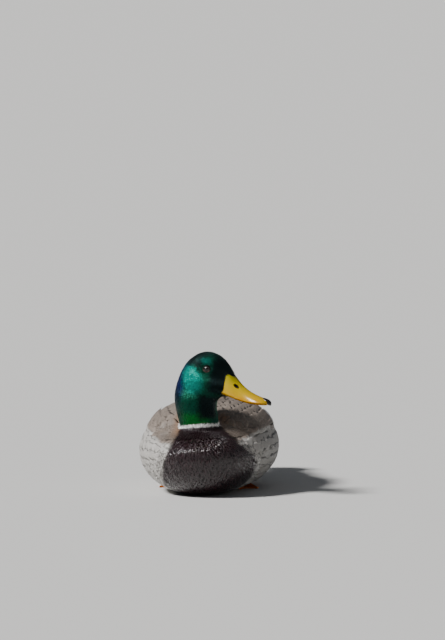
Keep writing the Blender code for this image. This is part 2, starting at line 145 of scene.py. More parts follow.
markings = {
    # turn round the neck from the breast towards the bird's left, height of the ring
    "collar": ((-180, 0.1085), (-150, 0.1065), (-120, 0.0990), (-92, 0.0925), (-67, 0.0887),
               (-40, 0.0908), (0, 0.0928), (40, 0.0931), (76, 0.0923), (92, 0.0932), (120, 0.0990),
               (150, 0.1065), (180, 0.1085)),
    # the same turn without its sign, half the ring's height
    "collarHalf": ((0, 0.0024), (75, 0.0017), (150, 0.0015), (180, 0.0004)),
    # height, the breast's edge on the bird's right and on its left
    "breastRight": ((0.000, -0.038), (0.020, -0.045), (0.040, -0.0440), (0.0543, -0.0388),
                    (0.0602, -0.0366), (0.0673, -0.0334), (0.0740, -0.0299), (0.0816, -0.0262),
                    (0.0880, -0.0250), (0.100, -0.0250)),
    "breastLeft": ((0.000, 0.050), (0.020, 0.066), (0.040, 0.0745), (0.0511, 0.0733),
                   (0.0563, 0.0686), (0.0641, 0.0620), (0.0716, 0.0533), (0.0786, 0.0441),
                   (0.0852, 0.0343), (0.092, 0.0250)),
    # place along the body, height of the edge between back and flank
    "mantleEdge": ((-0.125, 0.0700), (-0.1145, 0.0731), (-0.0967, 0.0760), (-0.0753, 0.0800),
                   (-0.0585, 0.0830), (-0.020, 0.0835), (0.060, 0.0810), (0.100, 0.0790)),
}
# each fade runs from where a colour begins to show to where it is full
fades = {
    "greenRise": (-0.0002, 0.0010), "greenReach": (0.0020, -0.0010), "greenAlways": (0.122, 0.128),
    "breastSide": (-0.0020, 0.0020), "breastBack": (-0.086, -0.095),
    "bellyHeight": (0.030, 0.012),
    "patchAlong": (0.090, 0.100), "patchHeight": (0.080, 0.070),
    "mantleHeight": (-0.0012, 0.0012), "backAcross": (0.026, 0.010), "backAlong": (-0.06, 0.02),
    "rumpHeight": (0.080, 0.086), "rumpAlong": (0.078, 0.090), "ventAlong": (0.109, 0.113),
    "rustReach": (0.016, 0.002), "rustHeight": (0.074, 0.086), "rustHeightLeft": (0.086, 0.098),
    "rustAlong": (-0.060, -0.080),
    "ringHeight": (0.0005, -0.0004), "ringReach": (0.0035, 0.0005),
    # from here on the fades place the head's painted sheen: a painted blue sheen at the nape, painted
    # highlights on the cheek, above the eye and in leaf green on the neck, and painted shade over the eye, on
    # the crown, at the chin and round the throat
    "napeSheenBack": (-0.020, -0.034), "napeSheenHeight": (-0.070, -0.030),
    "cheekHighlight": (1.15, 0.45), "cheekHighlightSide": (0.006, 0.013),
    "shadeBandHeight": (-0.003, 0.004), "shadeBandBack": (-0.002, -0.010), "shadeTopHeight": (0.014, 0.019),
    "chinShadeFront": (0.001, 0.011), "chinShadeHeight": (-0.036, -0.026),
    "leafHighlightHeight": (0.113, 0.103), "leafHighlightTurn": (62.0, 20.0),
    "throatShadeHeight": (0.096, 0.106), "throatShadeHead": (-0.030, -0.038),
    "throatShadeFrom": (-12.0, 14.0), "throatShadeTo": (84.0, 60.0),
    "throatRightShadeFrom": (-40.0, -62.0), "throatRightShadeTo": (-110.0, -80.0),
    "browHighlight": (1.2, 0.5),
}
# middle and radii of the painted highlights on the cheek and above the eye in the head's side view, and how
# much they slant
highlightSpots = {
    "cheekHighlight": (-0.018, -0.017, 0.019, 0.018, 0.35),
    "browHighlight": (-0.003, 0.0095, 0.008, 0.0045, 0.0),
}
# rust sets a real marking; the others set how dark the painted shade is over the eye, on the crown and round
# the throat, and how strong the painted highlight above the eye is
strengths = {"rust": 0.6, "shadeBand": 0.92, "top": 0.8, "throatRightShade": 0.55, "browHighlight": 0.45}
leafHighlightTurn = -6.0      # the painted leaf-green highlight is centred this far round the neck
neckSize = {"radius": 0.0298, "widening": 0.25}


def fade(values, name):
    return ramp(values, *fades[name])


def readOff(name, values):
    table = np.array(markings[name])
    return np.interp(values, table[:, 0], table[:, 1])


def neckTurn(points):
    away = points - np.array(neckMiddle)
    return np.degrees(np.arctan2(away[:, 0], -away[:, 1]))


def collarHeight(points):
    return readOff("collar", neckTurn(points))


def neckReach(points):
    away = points[:, :2] - np.array(neckMiddle)[:2]
    return np.linalg.norm(away, axis=1)


# how far out the neck still is a neck: its radius at the ring, and how fast that widens above
def neckLimit(points):
    above = np.maximum(points[:, 2] - collarHeight(points), 0.0)
    return neckSize["radius"] + neckSize["widening"] * above


def greenMask(points):
    above = fade(points[:, 2] - collarHeight(points), "greenRise")
    near = fade(neckReach(points) - neckLimit(points), "greenReach")
    return np.maximum(above * near, fade(points[:, 2], "greenAlways"))


def breastMask(points):
    x, y, z = inBody(points).T
    fromRight = fade(x - readOff("breastRight", z), "breastSide")
    fromLeft = fade(readOff("breastLeft", z) - x, "breastSide")
    return fromRight * fromLeft * fade(y, "breastBack")


def spotReach(u, w, name):
    middleU, middleW, radiusU, radiusW, slant = highlightSpots[name]
    across = (u - middleU) / radiusU
    up = (w - middleW + slant * (u - middleU)) / radiusW
    return np.sqrt(across ** 2 + up ** 2)


# the head's green, with its sheen painted in: painted highlights, a painted blue sheen and painted shade
def headGreenAndPaintedLight(points):
    tint = plumageColours
    u, v, w = inHead(points).T
    z = inBody(points)[:, 2]
    turn = neckTurn(points)
    crown = np.tile(np.array(tint["green"]), (len(points), 1))
    # painted blue sheen at the nape
    crown = blend(crown, tint["navySheen"], fade(u, "napeSheenBack") * fade(w, "napeSheenHeight"))
    # painted highlight on the cheek, where the green catches the key light
    crown = blend(crown, tint["tealHighlight"], fade(spotReach(u, w, "cheekHighlight"), "cheekHighlight") * fade(np.abs(v), "cheekHighlightSide"))
    # painted shade: a band between the cheek and the crown, the crown's top and the chin
    crown = blend(crown, tint["shade"], strengths["shadeBand"] * fade(w, "shadeBandHeight") * fade(u, "shadeBandBack"))
    crown = blend(crown, tint["shade"], strengths["top"] * fade(w, "shadeTopHeight"))
    crown = blend(crown, tint["shade"], fade(u, "chinShadeFront") * fade(w, "chinShadeHeight"))
    # painted highlight of leaf green on the front of the neck
    crown = blend(crown, tint["leafHighlight"], fade(z, "leafHighlightHeight") * fade(np.abs(turn - leafHighlightTurn), "leafHighlightTurn"))
    # painted shade round the throat, full on the bird's left and weaker on its right
    throatLeftShade = fade(turn, "throatShadeFrom") * fade(turn, "throatShadeTo")
    throatRightShade = strengths["throatRightShade"] * fade(turn, "throatRightShadeFrom") * fade(turn, "throatRightShadeTo")
    throatShade = fade(w, "throatShadeHead") * np.maximum(throatLeftShade, throatRightShade)
    crown = blend(crown, tint["shade"], throatShade * fade(z, "throatShadeHeight"))
    # painted highlight above the eye
    return blend(crown, tint["tealHighlight"], strengths["browHighlight"] * fade(spotReach(u, w, "browHighlight"), "browHighlight"))


def plumage(points):
    tint = plumageColours
    x, y, z = inBody(points).T
    colour = np.tile(np.array(tint["flank"]), (len(points), 1))
    colour = blend(colour, tint["belly"], fade(z, "bellyHeight"))
    colour = blend(colour, tint["patch"], fade(y, "patchAlong") * fade(z, "patchHeight"))
    upper = fade(z - readOff("mantleEdge", y), "mantleHeight")
    colour = blend(colour, tint["mantle"], upper)
    colour = blend(colour, tint["back"], upper * fade(np.abs(x), "backAcross") * fade(y, "backAlong"))
    colour = blend(colour, tint["rump"], fade(z, "rumpHeight") * fade(y, "rumpAlong"))
    colour = blend(colour, tint["vent"], fade(y, "ventAlong"))
    offBreast = np.maximum(readOff("breastRight", z) - x, x - readOff("breastLeft", z))
    rusty = strengths["rust"] * fade(z, "rustHeight") * np.where(x > 0.0, fade(z, "rustHeightLeft"), 1.0)
    colour = blend(colour, tint["rust"], rusty * fade(offBreast, "rustReach") * fade(y, "rustAlong"))
    colour = blend(colour, tint["breast"], breastMask(points))
    green = greenMask(points)[:, None]
    colour = colour * (1.0 - green) + headGreenAndPaintedLight(points) * green
    half = readOff("collarHalf", np.abs(neckTurn(points)))
    ring = fade(np.abs(z - collarHeight(points)) - half, "ringHeight")
    return blend(colour, tint["collar"], ring * fade(neckReach(points) - neckLimit(points), "ringReach"))


# mesh helpers
def onlySelect(piece):
    bpy.ops.object.select_all(action="DESELECT")
    piece.select_set(True)
    bpy.context.view_layer.objects.active = piece


def applyModifier(piece, kind, **settings):
    onlySelect(piece)
    modifier = piece.modifiers.new(kind.title(), kind)
    for key, value in settings.items():
        setattr(modifier, key, value)
    bpy.ops.object.modifier_apply(modifier=modifier.name)


def setColours(piece, colours, name="plumage"):
    layer = piece.data.color_attributes.new(name, "FLOAT_COLOR", "POINT")
    flat = np.ones((len(colours), 4))
    flat[:, :3] = colours
    layer.data.foreach_set("color", flat.ravel())


def meshPoints(mesh, attribute="co"):
    flat = np.empty(len(mesh.vertices) * 3)
    mesh.vertices.foreach_get(attribute, flat)
    return flat.reshape(-1, 3)


def smoothShade(piece):
    onlySelect(piece)
    bpy.ops.object.shade_smooth()


def paint(piece, material):
    piece.data.materials.clear()
    piece.data.materials.append(material)


# a finished piece goes onto the root body and hides the solids that it stands for; its slot is not used
def fitPiece(piece, slot, *nodes):
    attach(piece, "root")
    if nodes:
        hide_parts(*nodes)


# the skin: one mesh over all the flesh, sunk by the coat's depth
fleshNodes = ["trunk", "tail_base", "neck", "head", "wing_left", "wing_right"]
skinSizes = {"voxel": 0.0021, "smoothing": 6, "bodyDepth": 0.0022, "headDepth": 0.0011, "shade": 0.85}
# below the chin the feathers stand out from the skin and fill the hollow
throatFill = {"middle": (0.0120, 0.0, -0.0400), "radii": (0.016, 0.016, 0.012), "reach": (1.3, 0.3),
              "depth": 0.0024}


def joinNodes(name, nodes):
    together = bmesh.new()
    for node in nodes:
        together.from_mesh(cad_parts[node].data)
    bmesh.ops.remove_doubles(together, verts=together.verts, dist=1e-5)
    mesh = bpy.data.meshes.new(name)
    together.to_mesh(mesh)
    together.free()
    piece = bpy.data.objects.new(name, mesh)
    bpy.context.scene.collection.objects.link(piece)
    return piece


def makeSkin():
    skin = joinNodes("skin", fleshNodes)
    applyModifier(skin, "REMESH", mode="VOXEL", voxel_size=skinSizes["voxel"], adaptivity=0.0)
    applyModifier(skin, "SMOOTH", factor=0.5, iterations=skinSizes["smoothing"])
    smoothShade(skin)
    return skin


skin = makeSkin()
skinMesh = skin.data
outerPoints = meshPoints(skinMesh)
outerNormals = meshPoints(skinMesh, "normal")
throatGap = (inHead(outerPoints) - np.array(throatFill["middle"])) / np.array(throatFill["radii"])
filled = throatFill["depth"] * ramp(np.linalg.norm(throatGap, axis=1), *throatFill["reach"])
outerPoints += outerNormals * filled[:, None]
skinMesh.calc_loop_triangles()
outerTriangles = np.empty(len(skinMesh.loop_triangles) * 3, dtype=np.int64)
skinMesh.loop_triangles.foreach_get("vertices", outerTriangles)
outerTriangles = outerTriangles.reshape(-1, 3)
outerTree = BVHTree.FromPolygons([Vector(p) for p in outerPoints], outerTriangles.tolist())
print("skin: %d faces" % len(skinMesh.polygons))


# nearest points of the coat's outer surface, with smooth normals
def settle(places):
    found = np.empty_like(places)
    normals = np.empty_like(places)
    for i, place in enumerate(places):
        spot, normal, index, _ = outerTree.find_nearest(Vector(place))
        found[i] = spot
        corners = outerTriangles[index]
        gaps = 1.0 / (np.linalg.norm(outerPoints[corners] - found[i], axis=1) + 1e-5)
        normals[i] = gaps @ outerNormals[corners]
    return found, unit(normals)


# the part of a direction that lies in the surface
def flatten(directions, normals):
    return directions - normals * np.sum(directions * normals, axis=1, keepdims=True)


# sink the skin below the feathers
headness = greenMask(outerPoints)
sink = skinSizes["bodyDepth"] + (skinSizes["headDepth"] - skinSizes["bodyDepth"]) * headness
sunkPoints = outerPoints - outerNormals * sink[:, None]
skinMesh.vertices.foreach_set("co", sunkPoints.ravel())
skinMesh.update()
setColours(skin, plumage(outerPoints) * skinSizes["shade"])
print("markings: %d points coloured" % len(outerPoints))

# which way the coat lies
coatLie = {
    "billBase": (0.034, 0.0, -0.012), "downNeck": (0.0, 0.05, -1.0),
    "belowCrown": (0.004, -0.026), "behindCrown": (-0.020, -0.036),
    "fanAhead": 0.004, "fanHeight": 0.112, "fanEnds": (-0.140, -0.055),
    "flankDrop": -0.18, "flankOut": (0.03, 0.08), "flankHeight": (0.02, 0.05),
}


def lieOfCoat(places, normals):
    head = inHead(places)
    u, v, w = head.T
    x, y, z = inBody(places).T
    # from the bill's base back over the head, then down the neck
    fromBill = unit(unit(head - np.array(coatLie["billBase"])) @ headAxes)
    descend = np.maximum(ramp(w, *coatLie["belowCrown"]), ramp(u, *coatLie["behindCrown"]))[:, None]
    headLie = unit(fromBill * (1.0 - descend) + np.array(coatLie["downNeck"]) * descend)
    # over the breast the feathers fan out from the neck and turn tailward
    fan = (neckMiddle.x, neckMiddle.y - coatLie["fanAhead"], coatLie["fanHeight"])
    turn = ramp(y, *coatLie["fanEnds"])[:, None]
    bodyLie = unit(unit(places - np.array(fan)) * (1.0 - turn) + np.array((0.0, 1.0, 0.0)) * turn)
    drop = coatLie["flankDrop"] * ramp(np.abs(x), *coatLie["flankOut"]) * ramp(z, *coatLie["flankHeight"])
    bodyLie[:, 2] += drop
    bodyLie = unit(bodyLie)
    green = greenMask(places)[:, None]
    return unit(flatten(bodyLie * (1.0 - green) + headLie * green, normals))


# feathers: where their cross-rows stand along them, and the ring of points in each row
rowShares = {
    4: (0.0, 0.36, 0.70, 0.91, 1.0),
    5: (0.0, 0.30, 0.58, 0.80, 0.93, 1.0),
    8: (0.0, 0.16, 0.34, 0.52, 0.69, 0.83, 0.93, 0.98, 1.0),
}
vaneRings = {
    4: ((-1.0, 0.0), (0.0, 1.0), (1.0, 0.0), (0.0, 0.25)),      # left edge, shaft, right edge, underside
    6: ((-1.0, 0.0), (-0.55, 0.72), (0.0, 1.0), (0.55, 0.72), (1.0, 0.0), (0.0, 0.45)),
}


# one feather as rows of points: share along, share across, and how proud of the edge it stands
def vaneShape(spans, across, taper=0.72, rootWidth=0.45):
    alongShares = rowShares[spans]
    ring = vaneRings[across]
    widths = []
    for share in alongShares:
        opening = rootWidth + (1.0 - rootWidth) * min(share / 0.45, 1.0) ** 0.8
        closing = math.sqrt(max(1.0 - max((share - taper) / (1.0 - taper), 0.0) ** 2, 0.0))
        widths.append(max(opening * closing, 0.10))
    rows = [(share, width * side, proud) for share, width in zip(alongShares, widths) for side, proud in ring]
    size = len(ring)
    quads = []
    for row in range(len(alongShares) - 1):
        for k in range(size):
            a = row * size + k
            b = row * size + (k + 1) % size
            quads.append((a, b, b + size, a + size))
    last = (len(alongShares) - 1) * size
    if across == 4:      # the two ends are closed
        quads.append((3, 2, 1, 0))
        quads.append((last, last + 1, last + 2, last + 3))
    else:
        quads += [(5, 2, 1, 0), (5, 4, 3, 2)]
        quads += [(last, last + 1, last + 2, last + 5), (last + 2, last + 3, last + 4, last + 5)]
    return alongShares, size, np.array(rows), np.array(quads)


triesPerRoot = 5.0


# roots spread evenly over the part of the outer surface where the mask holds
def scatter(mask, spacing, seed):
    local = np.random.default_rng(seed)
    corners = outerPoints[outerTriangles]
    area = np.linalg.norm(np.cross(corners[:, 1] - corners[:, 0], corners[:, 2] - corners[:, 0]), axis=1) / 2
    centres = corners.mean(axis=1)
    wanted = mask(centres) & (area > 0)
    chosen = np.nonzero(wanted)[0]
    share = area[chosen] / area[chosen].sum()
    count = int(triesPerRoot * area[chosen].sum() / spacing ** 2)
    picks = local.choice(chosen, size=count, p=share)
    a, b = local.random((2, count))
    flip = a + b > 1.0
    a[flip], b[flip] = 1.0 - a[flip], 1.0 - b[flip]
    spots = corners[picks, 0] + a[:, None] * (corners[picks, 1] - corners[picks, 0]) \
        + b[:, None] * (corners[picks, 2] - corners[picks, 0])
    cells = {}
    kept = []
    keys = np.floor(spots / spacing).astype(int)
    steps = [(i, j, k) for i in (-1, 0, 1) for j in (-1, 0, 1) for k in (-1, 0, 1)]
    for n, (spot, key) in enumerate(zip(spots.tolist(), keys.tolist())):
        others = (other for i, j, k in steps for other in cells.get((key[0] + i, key[1] + j, key[2] + k), ()))
        if not any((spot[0] - other[0]) ** 2 + (spot[1] - other[1]) ** 2 + (spot[2] - other[2]) ** 2
                   < spacing * spacing for other in others):
            cells.setdefault(tuple(key), []).append(spot)
            kept.append(n)
    return spots[kept]


# where a root lies on an unwrap of the bird's own shape: round the part's axis, and along it
def unwrapPlace(places, part):
    if part == "neck":
        return np.stack([neckTurn(places), places[:, 2]], axis=1)
    if part == "head":
        head = inHead(places)
        return np.stack([np.arctan2(head[:, 1], head[:, 0] + headAxisBack), head[:, 2]], axis=1)
    body = inBody(places)
    return np.stack([np.arctan2(body[:, 0], body[:, 2] - bodyAxisHeight), body[:, 1]], axis=1)


floorPress = {"below": 0.0006, "keep": 0.05}      # the floor presses the belly's feathers flat
coatPatch = 0.003                                 # a small feather's place on the bake map


# a joined mesh of closed vanes, one along each row of centres
def buildVanes(name, centres, normals, heights, widths, settings, tintOf, spots, patch, seed):
    local = np.random.default_rng(seed)
    shares, size, rows, quads = vaneShape(settings["spans"], settings["across"], settings.get("taper", 0.72),
                                          settings.get("rootWidth", 0.45))
    count = len(centres)
    roll = local.normal(0.0, settings["roll"], count)
    cup = settings["cup"]
    vertices = np.empty((count, len(rows), 3))
    for step in range(len(shares)):
        ahead = centres[:, min(step + 1, len(shares) - 1)] - centres[:, max(step - 1, 0)]
        across = unit(np.cross(normals[:, step], ahead))
        for k in range(size):
            row = step * size + k
            side = rows[row, 1] * widths
            raised = heights[:, step] + cup * widths * (rows[row, 2] - 0.5) + roll * side
            vertices[:, row] = centres[:, step] + across * side[:, None] + normals[:, step] * raised[:, None]
    level = vertices[:, :, 2]
    flattened = floorPress["below"] + floorPress["keep"] * (level - floorPress["below"])
    vertices[:, :, 2] = np.where(level < floorPress["below"], flattened, level)
    flatVertices = vertices.reshape(-1, 3)
    flatQuads = (quads[None] + (np.arange(count) * len(rows))[:, None, None]).reshape(-1, 4)
    first = vertices[0][quads]
    fromMiddle = first.mean(axis=1) - vertices[0].mean(axis=0)
    facing = np.cross(first[:, 1] - first[:, 0], first[:, 3] - first[:, 0])
    if np.sum(fromMiddle * facing) < 0:       # the faces point inwards
        flatQuads = flatQuads[:, ::-1]
    mesh = bpy.data.meshes.new(name)
    mesh.vertices.add(len(flatVertices))
    mesh.vertices.foreach_set("co", flatVertices.ravel())
    mesh.loops.add(flatQuads.size)
    mesh.loops.foreach_set("vertex_index", flatQuads.ravel())
    mesh.polygons.add(len(flatQuads))
    mesh.polygons.foreach_set("loop_start", np.arange(len(flatQuads)) * 4)
    mesh.polygons.foreach_set("use_smooth", np.ones(len(flatQuads), dtype=bool))
    mesh.update(calc_edges=True)
    # the vane's own map, and the bake map: one patch for each feather
    vane = np.stack([rows[:, 1] * 0.5 + 0.5, rows[:, 0]], axis=1)
    vaneAll = np.tile(vane, (count, 1))
    mesh.uv_layers.new(name="Vane").data.foreach_set("uv", vaneAll[flatQuads.ravel()].ravel())
    place = np.repeat(spots, len(rows), axis=0) + np.array(patch) * vaneAll
    mesh.uv_layers.new(name="OFBake").data.foreach_set("uv", place[flatQuads.ravel()].ravel())
    piece = bpy.data.objects.new(name, mesh)
    bpy.context.scene.collection.objects.link(piece)
    shade = 1.0 + local.uniform(-settings["shadeVary"], settings["shadeVary"], count)
    wander = local.normal(0.0, settings.get("wander", 0.0006), (count, 1, 3))
    colours = tintOf((vertices + wander).reshape(-1, 3)) * np.repeat(shade, len(rows))[:, None]
    setColours(piece, colours)
    print("%s: %d feathers, %d triangles" % (name, count, len(flatQuads) * 2))
    return piece


# rows of centres and normals that follow the surface from the roots
def followSurface(roots, lie, lengths, shares):
    places, facing = settle(roots)
    centres = np.empty((len(roots), len(shares), 3))
    normals = np.empty_like(centres)
    centre = places
    previous = 0.0
    for step, share in enumerate(shares):
        if step:
            centre = centre + lie * (lengths * (share - previous))[:, None]
            centre, facing = settle(centre)
            previous = share
        lie = unit(flatten(lie, facing))
        centres[:, step] = centre
        normals[:, step] = facing
    return centres, normals


# the body's coat: small feathers at scattered roots, in the lie of the coat
def growFeathers(name, roots, settings, seed):
    local = np.random.default_rng(seed)
    shares = np.array(rowShares[settings["spans"]])
    count = len(roots)
    places, facing = settle(roots)
    lie = lieOfCoat(places, facing)
    lie = unit(lie + np.cross(facing, lie) * local.normal(0.0, settings["stray"], count)[:, None])
    vary = settings["vary"]
    lengths = settings["length"] * (1.0 + local.uniform(-vary, vary, count))
    widths = settings["halfWidth"] * (1.0 + local.uniform(-vary, vary, count))
    if "sizeAt" in settings:
        scale = settings["sizeAt"](places)
        lengths = lengths * scale
        widths = widths * scale
    centres, normals = followSurface(places, lie, lengths, shares)
    sunk = settings["rootSink"]
    lift = settings["tipLift"] * (1.0 + local.uniform(-0.6, 0.6, count))
    heights = -sunk + (sunk + lift)[:, None] * shares[None, :] ** 0.8
    spots = unwrapPlace(places, settings.get("unwrap", "body"))
    low = spots.min(axis=0)
    spots = 0.01 + (0.98 - coatPatch) * (spots - low) / (spots.max(axis=0) - low)
    patch = (coatPatch, coatPatch)
    return buildVanes(name, centres, normals, heights, widths, settings, plumage, spots, patch, seed + 1)


# cells of a square sheet, one for each large feather
def sheetCells(count, tall=3.0):
    columns = max(1, math.ceil(math.sqrt(count * tall)))
    lines = math.ceil(count / columns)
    cell = np.array([1.0 / columns, 1.0 / lines])
    spots = np.array([[(n % columns) * cell[0], (n // columns) * cell[1]] for n in range(count)])
    return spots + 0.04 * cell, tuple(0.92 * cell)


# materials
# a Principled material; the values are set on the shader's own sockets
def newMaterial(name, **values):
    material = bpy.data.materials.new(name)
    material.use_nodes = True
    shader = material.node_tree.nodes["Principled BSDF"]
    for key, value in values.items():
        shader.inputs[key.replace("_", " ")].default_value = value
    return material, material.node_tree, shader


# a shader node with its settings, and its inputs: each a value or another node's output
def addNode(tree, kind, inputs=None, **settings):
    node = tree.nodes.new(kind)
    for key, value in settings.items():
        setattr(node, key, value)
    for key, value in (inputs or {}).items():
        if isinstance(value, bpy.types.NodeSocket):
            tree.links.new(value, node.inputs[key])
        else:
            node.inputs[key].default_value = value
    return node


def addMath(tree, operation, *values):
    return addNode(tree, "ShaderNodeMath", dict(enumerate(values)), operation=operation).outputs[0]


# values, from low, from high, to low, to high
def addRange(tree, *values):
    return addNode(tree, "ShaderNodeMapRange", dict(enumerate(values))).outputs[0]


def addScale(tree, colour, factor):
    return addNode(tree, "ShaderNodeVectorMath", {0: colour, "Scale": factor}, operation="SCALE").outputs[0]


# a colour ramp; each stop is a place and a colour
def addTones(tree, source, stops):
    node = addNode(tree, "ShaderNodeValToRGB", {0: source})
    elements = node.color_ramp.elements
    for element, (place, colour) in zip(elements, (stops[0], stops[-1])):
        element.position = place
        element.color = (*colour, 1.0)
    for place, colour in stops[1:-1]:
        elements.new(place).color = (*colour, 1.0)
    return node.outputs[0]


def objectPlace(tree):
    return addNode(tree, "ShaderNodeTexCoord").outputs["Object"]


def attribute(tree, name, output="Color"):
    return addNode(tree, "ShaderNodeAttribute", attribute_name=name).outputs[output]


# the surface's colour, and its relief from a height
def finish(tree, shader, colour, height, bump, distance):
    tree.links.new(colour, shader.inputs["Base Color"])
    relief = addNode(tree, "ShaderNodeBump", {"Height": height, "Strength": bump, "Distance": distance})
    tree.links.new(relief.outputs[0], shader.inputs["Normal"])


def newGroup(name, inputs, outputs):
    group = bpy.data.node_groups.new(name, "ShaderNodeTree")
    kinds = {"Colour": "NodeSocketColor", "Place": "NodeSocketVector"}
    for way, sockets in (("INPUT", inputs), ("OUTPUT", outputs)):
        for socket in sockets:
            kind = kinds.get(socket, "NodeSocketFloat")
            group.interface.new_socket(socket, in_out=way, socket_type=kind)
    return group, addNode(group, "NodeGroupInput").outputs


vanePattern = {"slant": -0.7, "barbRate": 150.0, "shaftWidth": 0.06, "rimEnd": 0.48, "tipStart": 0.84,
               "tipEnd": 0.97, "relief": 0.0004}


# fine barbs that slant from the shaft, a dark shaft line and a paler rim
def makeVaneGroup():
    sockets = ("Colour", "Barbs", "Rim", "Shaft", "RimStart")
    group, given = newGroup("FeatherVane", sockets, ("Colour", "Height"))
    vane = addNode(group, "ShaderNodeUVMap", uv_map="Vane").outputs[0]
    across, along, _ = addNode(group, "ShaderNodeSeparateXYZ", {0: vane}).outputs
    away = addMath(group, "ABSOLUTE", addMath(group, "SUBTRACT", across, 0.5))
    slant = addMath(group, "MULTIPLY_ADD", away, vanePattern["slant"], along)
    wave = addMath(group, "SINE", addMath(group, "MULTIPLY", slant, vanePattern["barbRate"]))
    height = addMath(group, "ADD", 1.0, addMath(group, "MULTIPLY", wave, given["Barbs"]))
    shaft = addRange(group, away, 0.0, vanePattern["shaftWidth"], 1.0, 0.0)
    darker = addMath(group, "SUBTRACT", height, addMath(group, "MULTIPLY", shaft, given["Shaft"]))
    sides = addRange(group, away, given["RimStart"], vanePattern["rimEnd"], 0.0, 1.0)
    tip = addRange(group, along, vanePattern["tipStart"], vanePattern["tipEnd"], 0.0, 1.0)
    rim = addMath(group, "MULTIPLY", addMath(group, "MAXIMUM", sides, tip), given["Rim"])
    colour = addScale(group, given["Colour"], addMath(group, "ADD", darker, rim))
    addNode(group, "NodeGroupOutput", {"Colour": colour, "Height": height})
    return group


# a colour broken up by noise between two strengths, and the noise itself for relief
def makeGrainGroup():
    sockets = ("Colour", "Place", "Scale", "Detail", "Coarseness", "Low", "High")
    group, given = newGroup("FineGrain", sockets, ("Colour", "Height"))
    inputs = {"Vector": given["Place"], "Scale": given["Scale"], "Detail": given["Detail"],
              "Roughness": given["Coarseness"]}
    noise = addNode(group, "ShaderNodeTexNoise", inputs).outputs[0]
    strength = addRange(group, noise, 0.3, 0.7, given["Low"], given["High"])
    addNode(group, "NodeGroupOutput", {"Colour": addScale(group, given["Colour"], strength), "Height": noise})
    return group


vaneGroup = makeVaneGroup()
grainGroup = makeGrainGroup()
barWaves = {"Scale": 270.0, "Distortion": 5.0, "Detail": 2.0, "Detail Scale": 1.5}
metalFrom = (0.001, 0.005)      # how much greener than red a feather is when its gloss starts, and is full


def addGrain(tree, colour, scale, low, high, detail=5.0, coarseness=0.5):
    inputs = {"Colour": colour, "Place": objectPlace(tree), "Scale": scale, "Detail": detail,
              "Coarseness": coarseness, "Low": low, "High": high}
    return addNode(tree, "ShaderNodeGroup", inputs, node_tree=grainGroup).outputs


def addVane(tree, shader, colour, bump, barbs, rim, shaft, rimStart=0.34):
    inputs = {"Colour": colour, "Barbs": barbs, "Rim": rim, "Shaft": shaft, "RimStart": rimStart}
    vane = addNode(tree, "ShaderNodeGroup", inputs, node_tree=vaneGroup).outputs
    finish(tree, shader, vane["Colour"], vane["Height"], bump, vanePattern["relief"])


def featherMaterial(name, barbs=0.10, rim=0.0, shaft=0.08, bars=0.0, speckle=0.12, bump=0.25, gloss=0.0,
                    rimStart=0.34, **values):
    material, tree, shader = newMaterial(name, **values)
    tint = attribute(tree, "plumage")
    colour = addGrain(tree, tint, 420.0, 1.0 - speckle, 1.0 + speckle, 4.0, 0.6)["Colour"]
    if bars > 0:
        waves = addNode(tree, "ShaderNodeTexWave", {"Vector": objectPlace(tree), **barWaves},
                        bands_direction="DIAGONAL")
        colour = addScale(tree, colour, addRange(tree, waves.outputs["Fac"], 0.35, 0.65, 1.0 - bars, 1.0))
    addVane(tree, shader, colour, bump, barbs, rim, shaft, rimStart)
    if gloss > 0:        # what is greener than it is red shines like metal
        channels = addNode(tree, "ShaderNodeSeparateColor", {0: tint}).outputs
        greener = addMath(tree, "SUBTRACT", channels[1], channels[0])
        tree.links.new(addRange(tree, greener, *metalFrom, 0.0, gloss), shader.inputs["Metallic"])
    return material


def skinMaterial():
    material, tree, shader = newMaterial("skinDown", Roughness=0.8)
    down = addGrain(tree, attribute(tree, "plumage"), 900.0, 0.75, 1.15)
    finish(tree, shader, down["Colour"], down["Height"], 0.4, 0.0005)
    return material


def plainMaterial(name, colour, **values):
    material, tree, shader = newMaterial(name, **values)
    grain = addGrain(tree, (*colour, 1.0), 600.0, 0.88, 1.12)
    finish(tree, shader, grain["Colour"], grain["Height"], 0.2, 0.0003)
    return material


# bands along the feather, from the root to the tip
def bandMaterial(name, bands, shine=None, **values):
    material, tree, shader = newMaterial(name, **values)
    vane = addNode(tree, "ShaderNodeUVMap", uv_map="Vane").outputs[0]
    along = addNode(tree, "ShaderNodeSeparateXYZ", {0: vane}).outputs[1]
    addVane(tree, shader, addTones(tree, along, bands), 0.25, 0.08, 0.0, 0.15)
    if shine:
        tree.links.new(addRange(tree, along, *shine, 0.7, 0.0), shader.inputs["Metallic"])
    return material


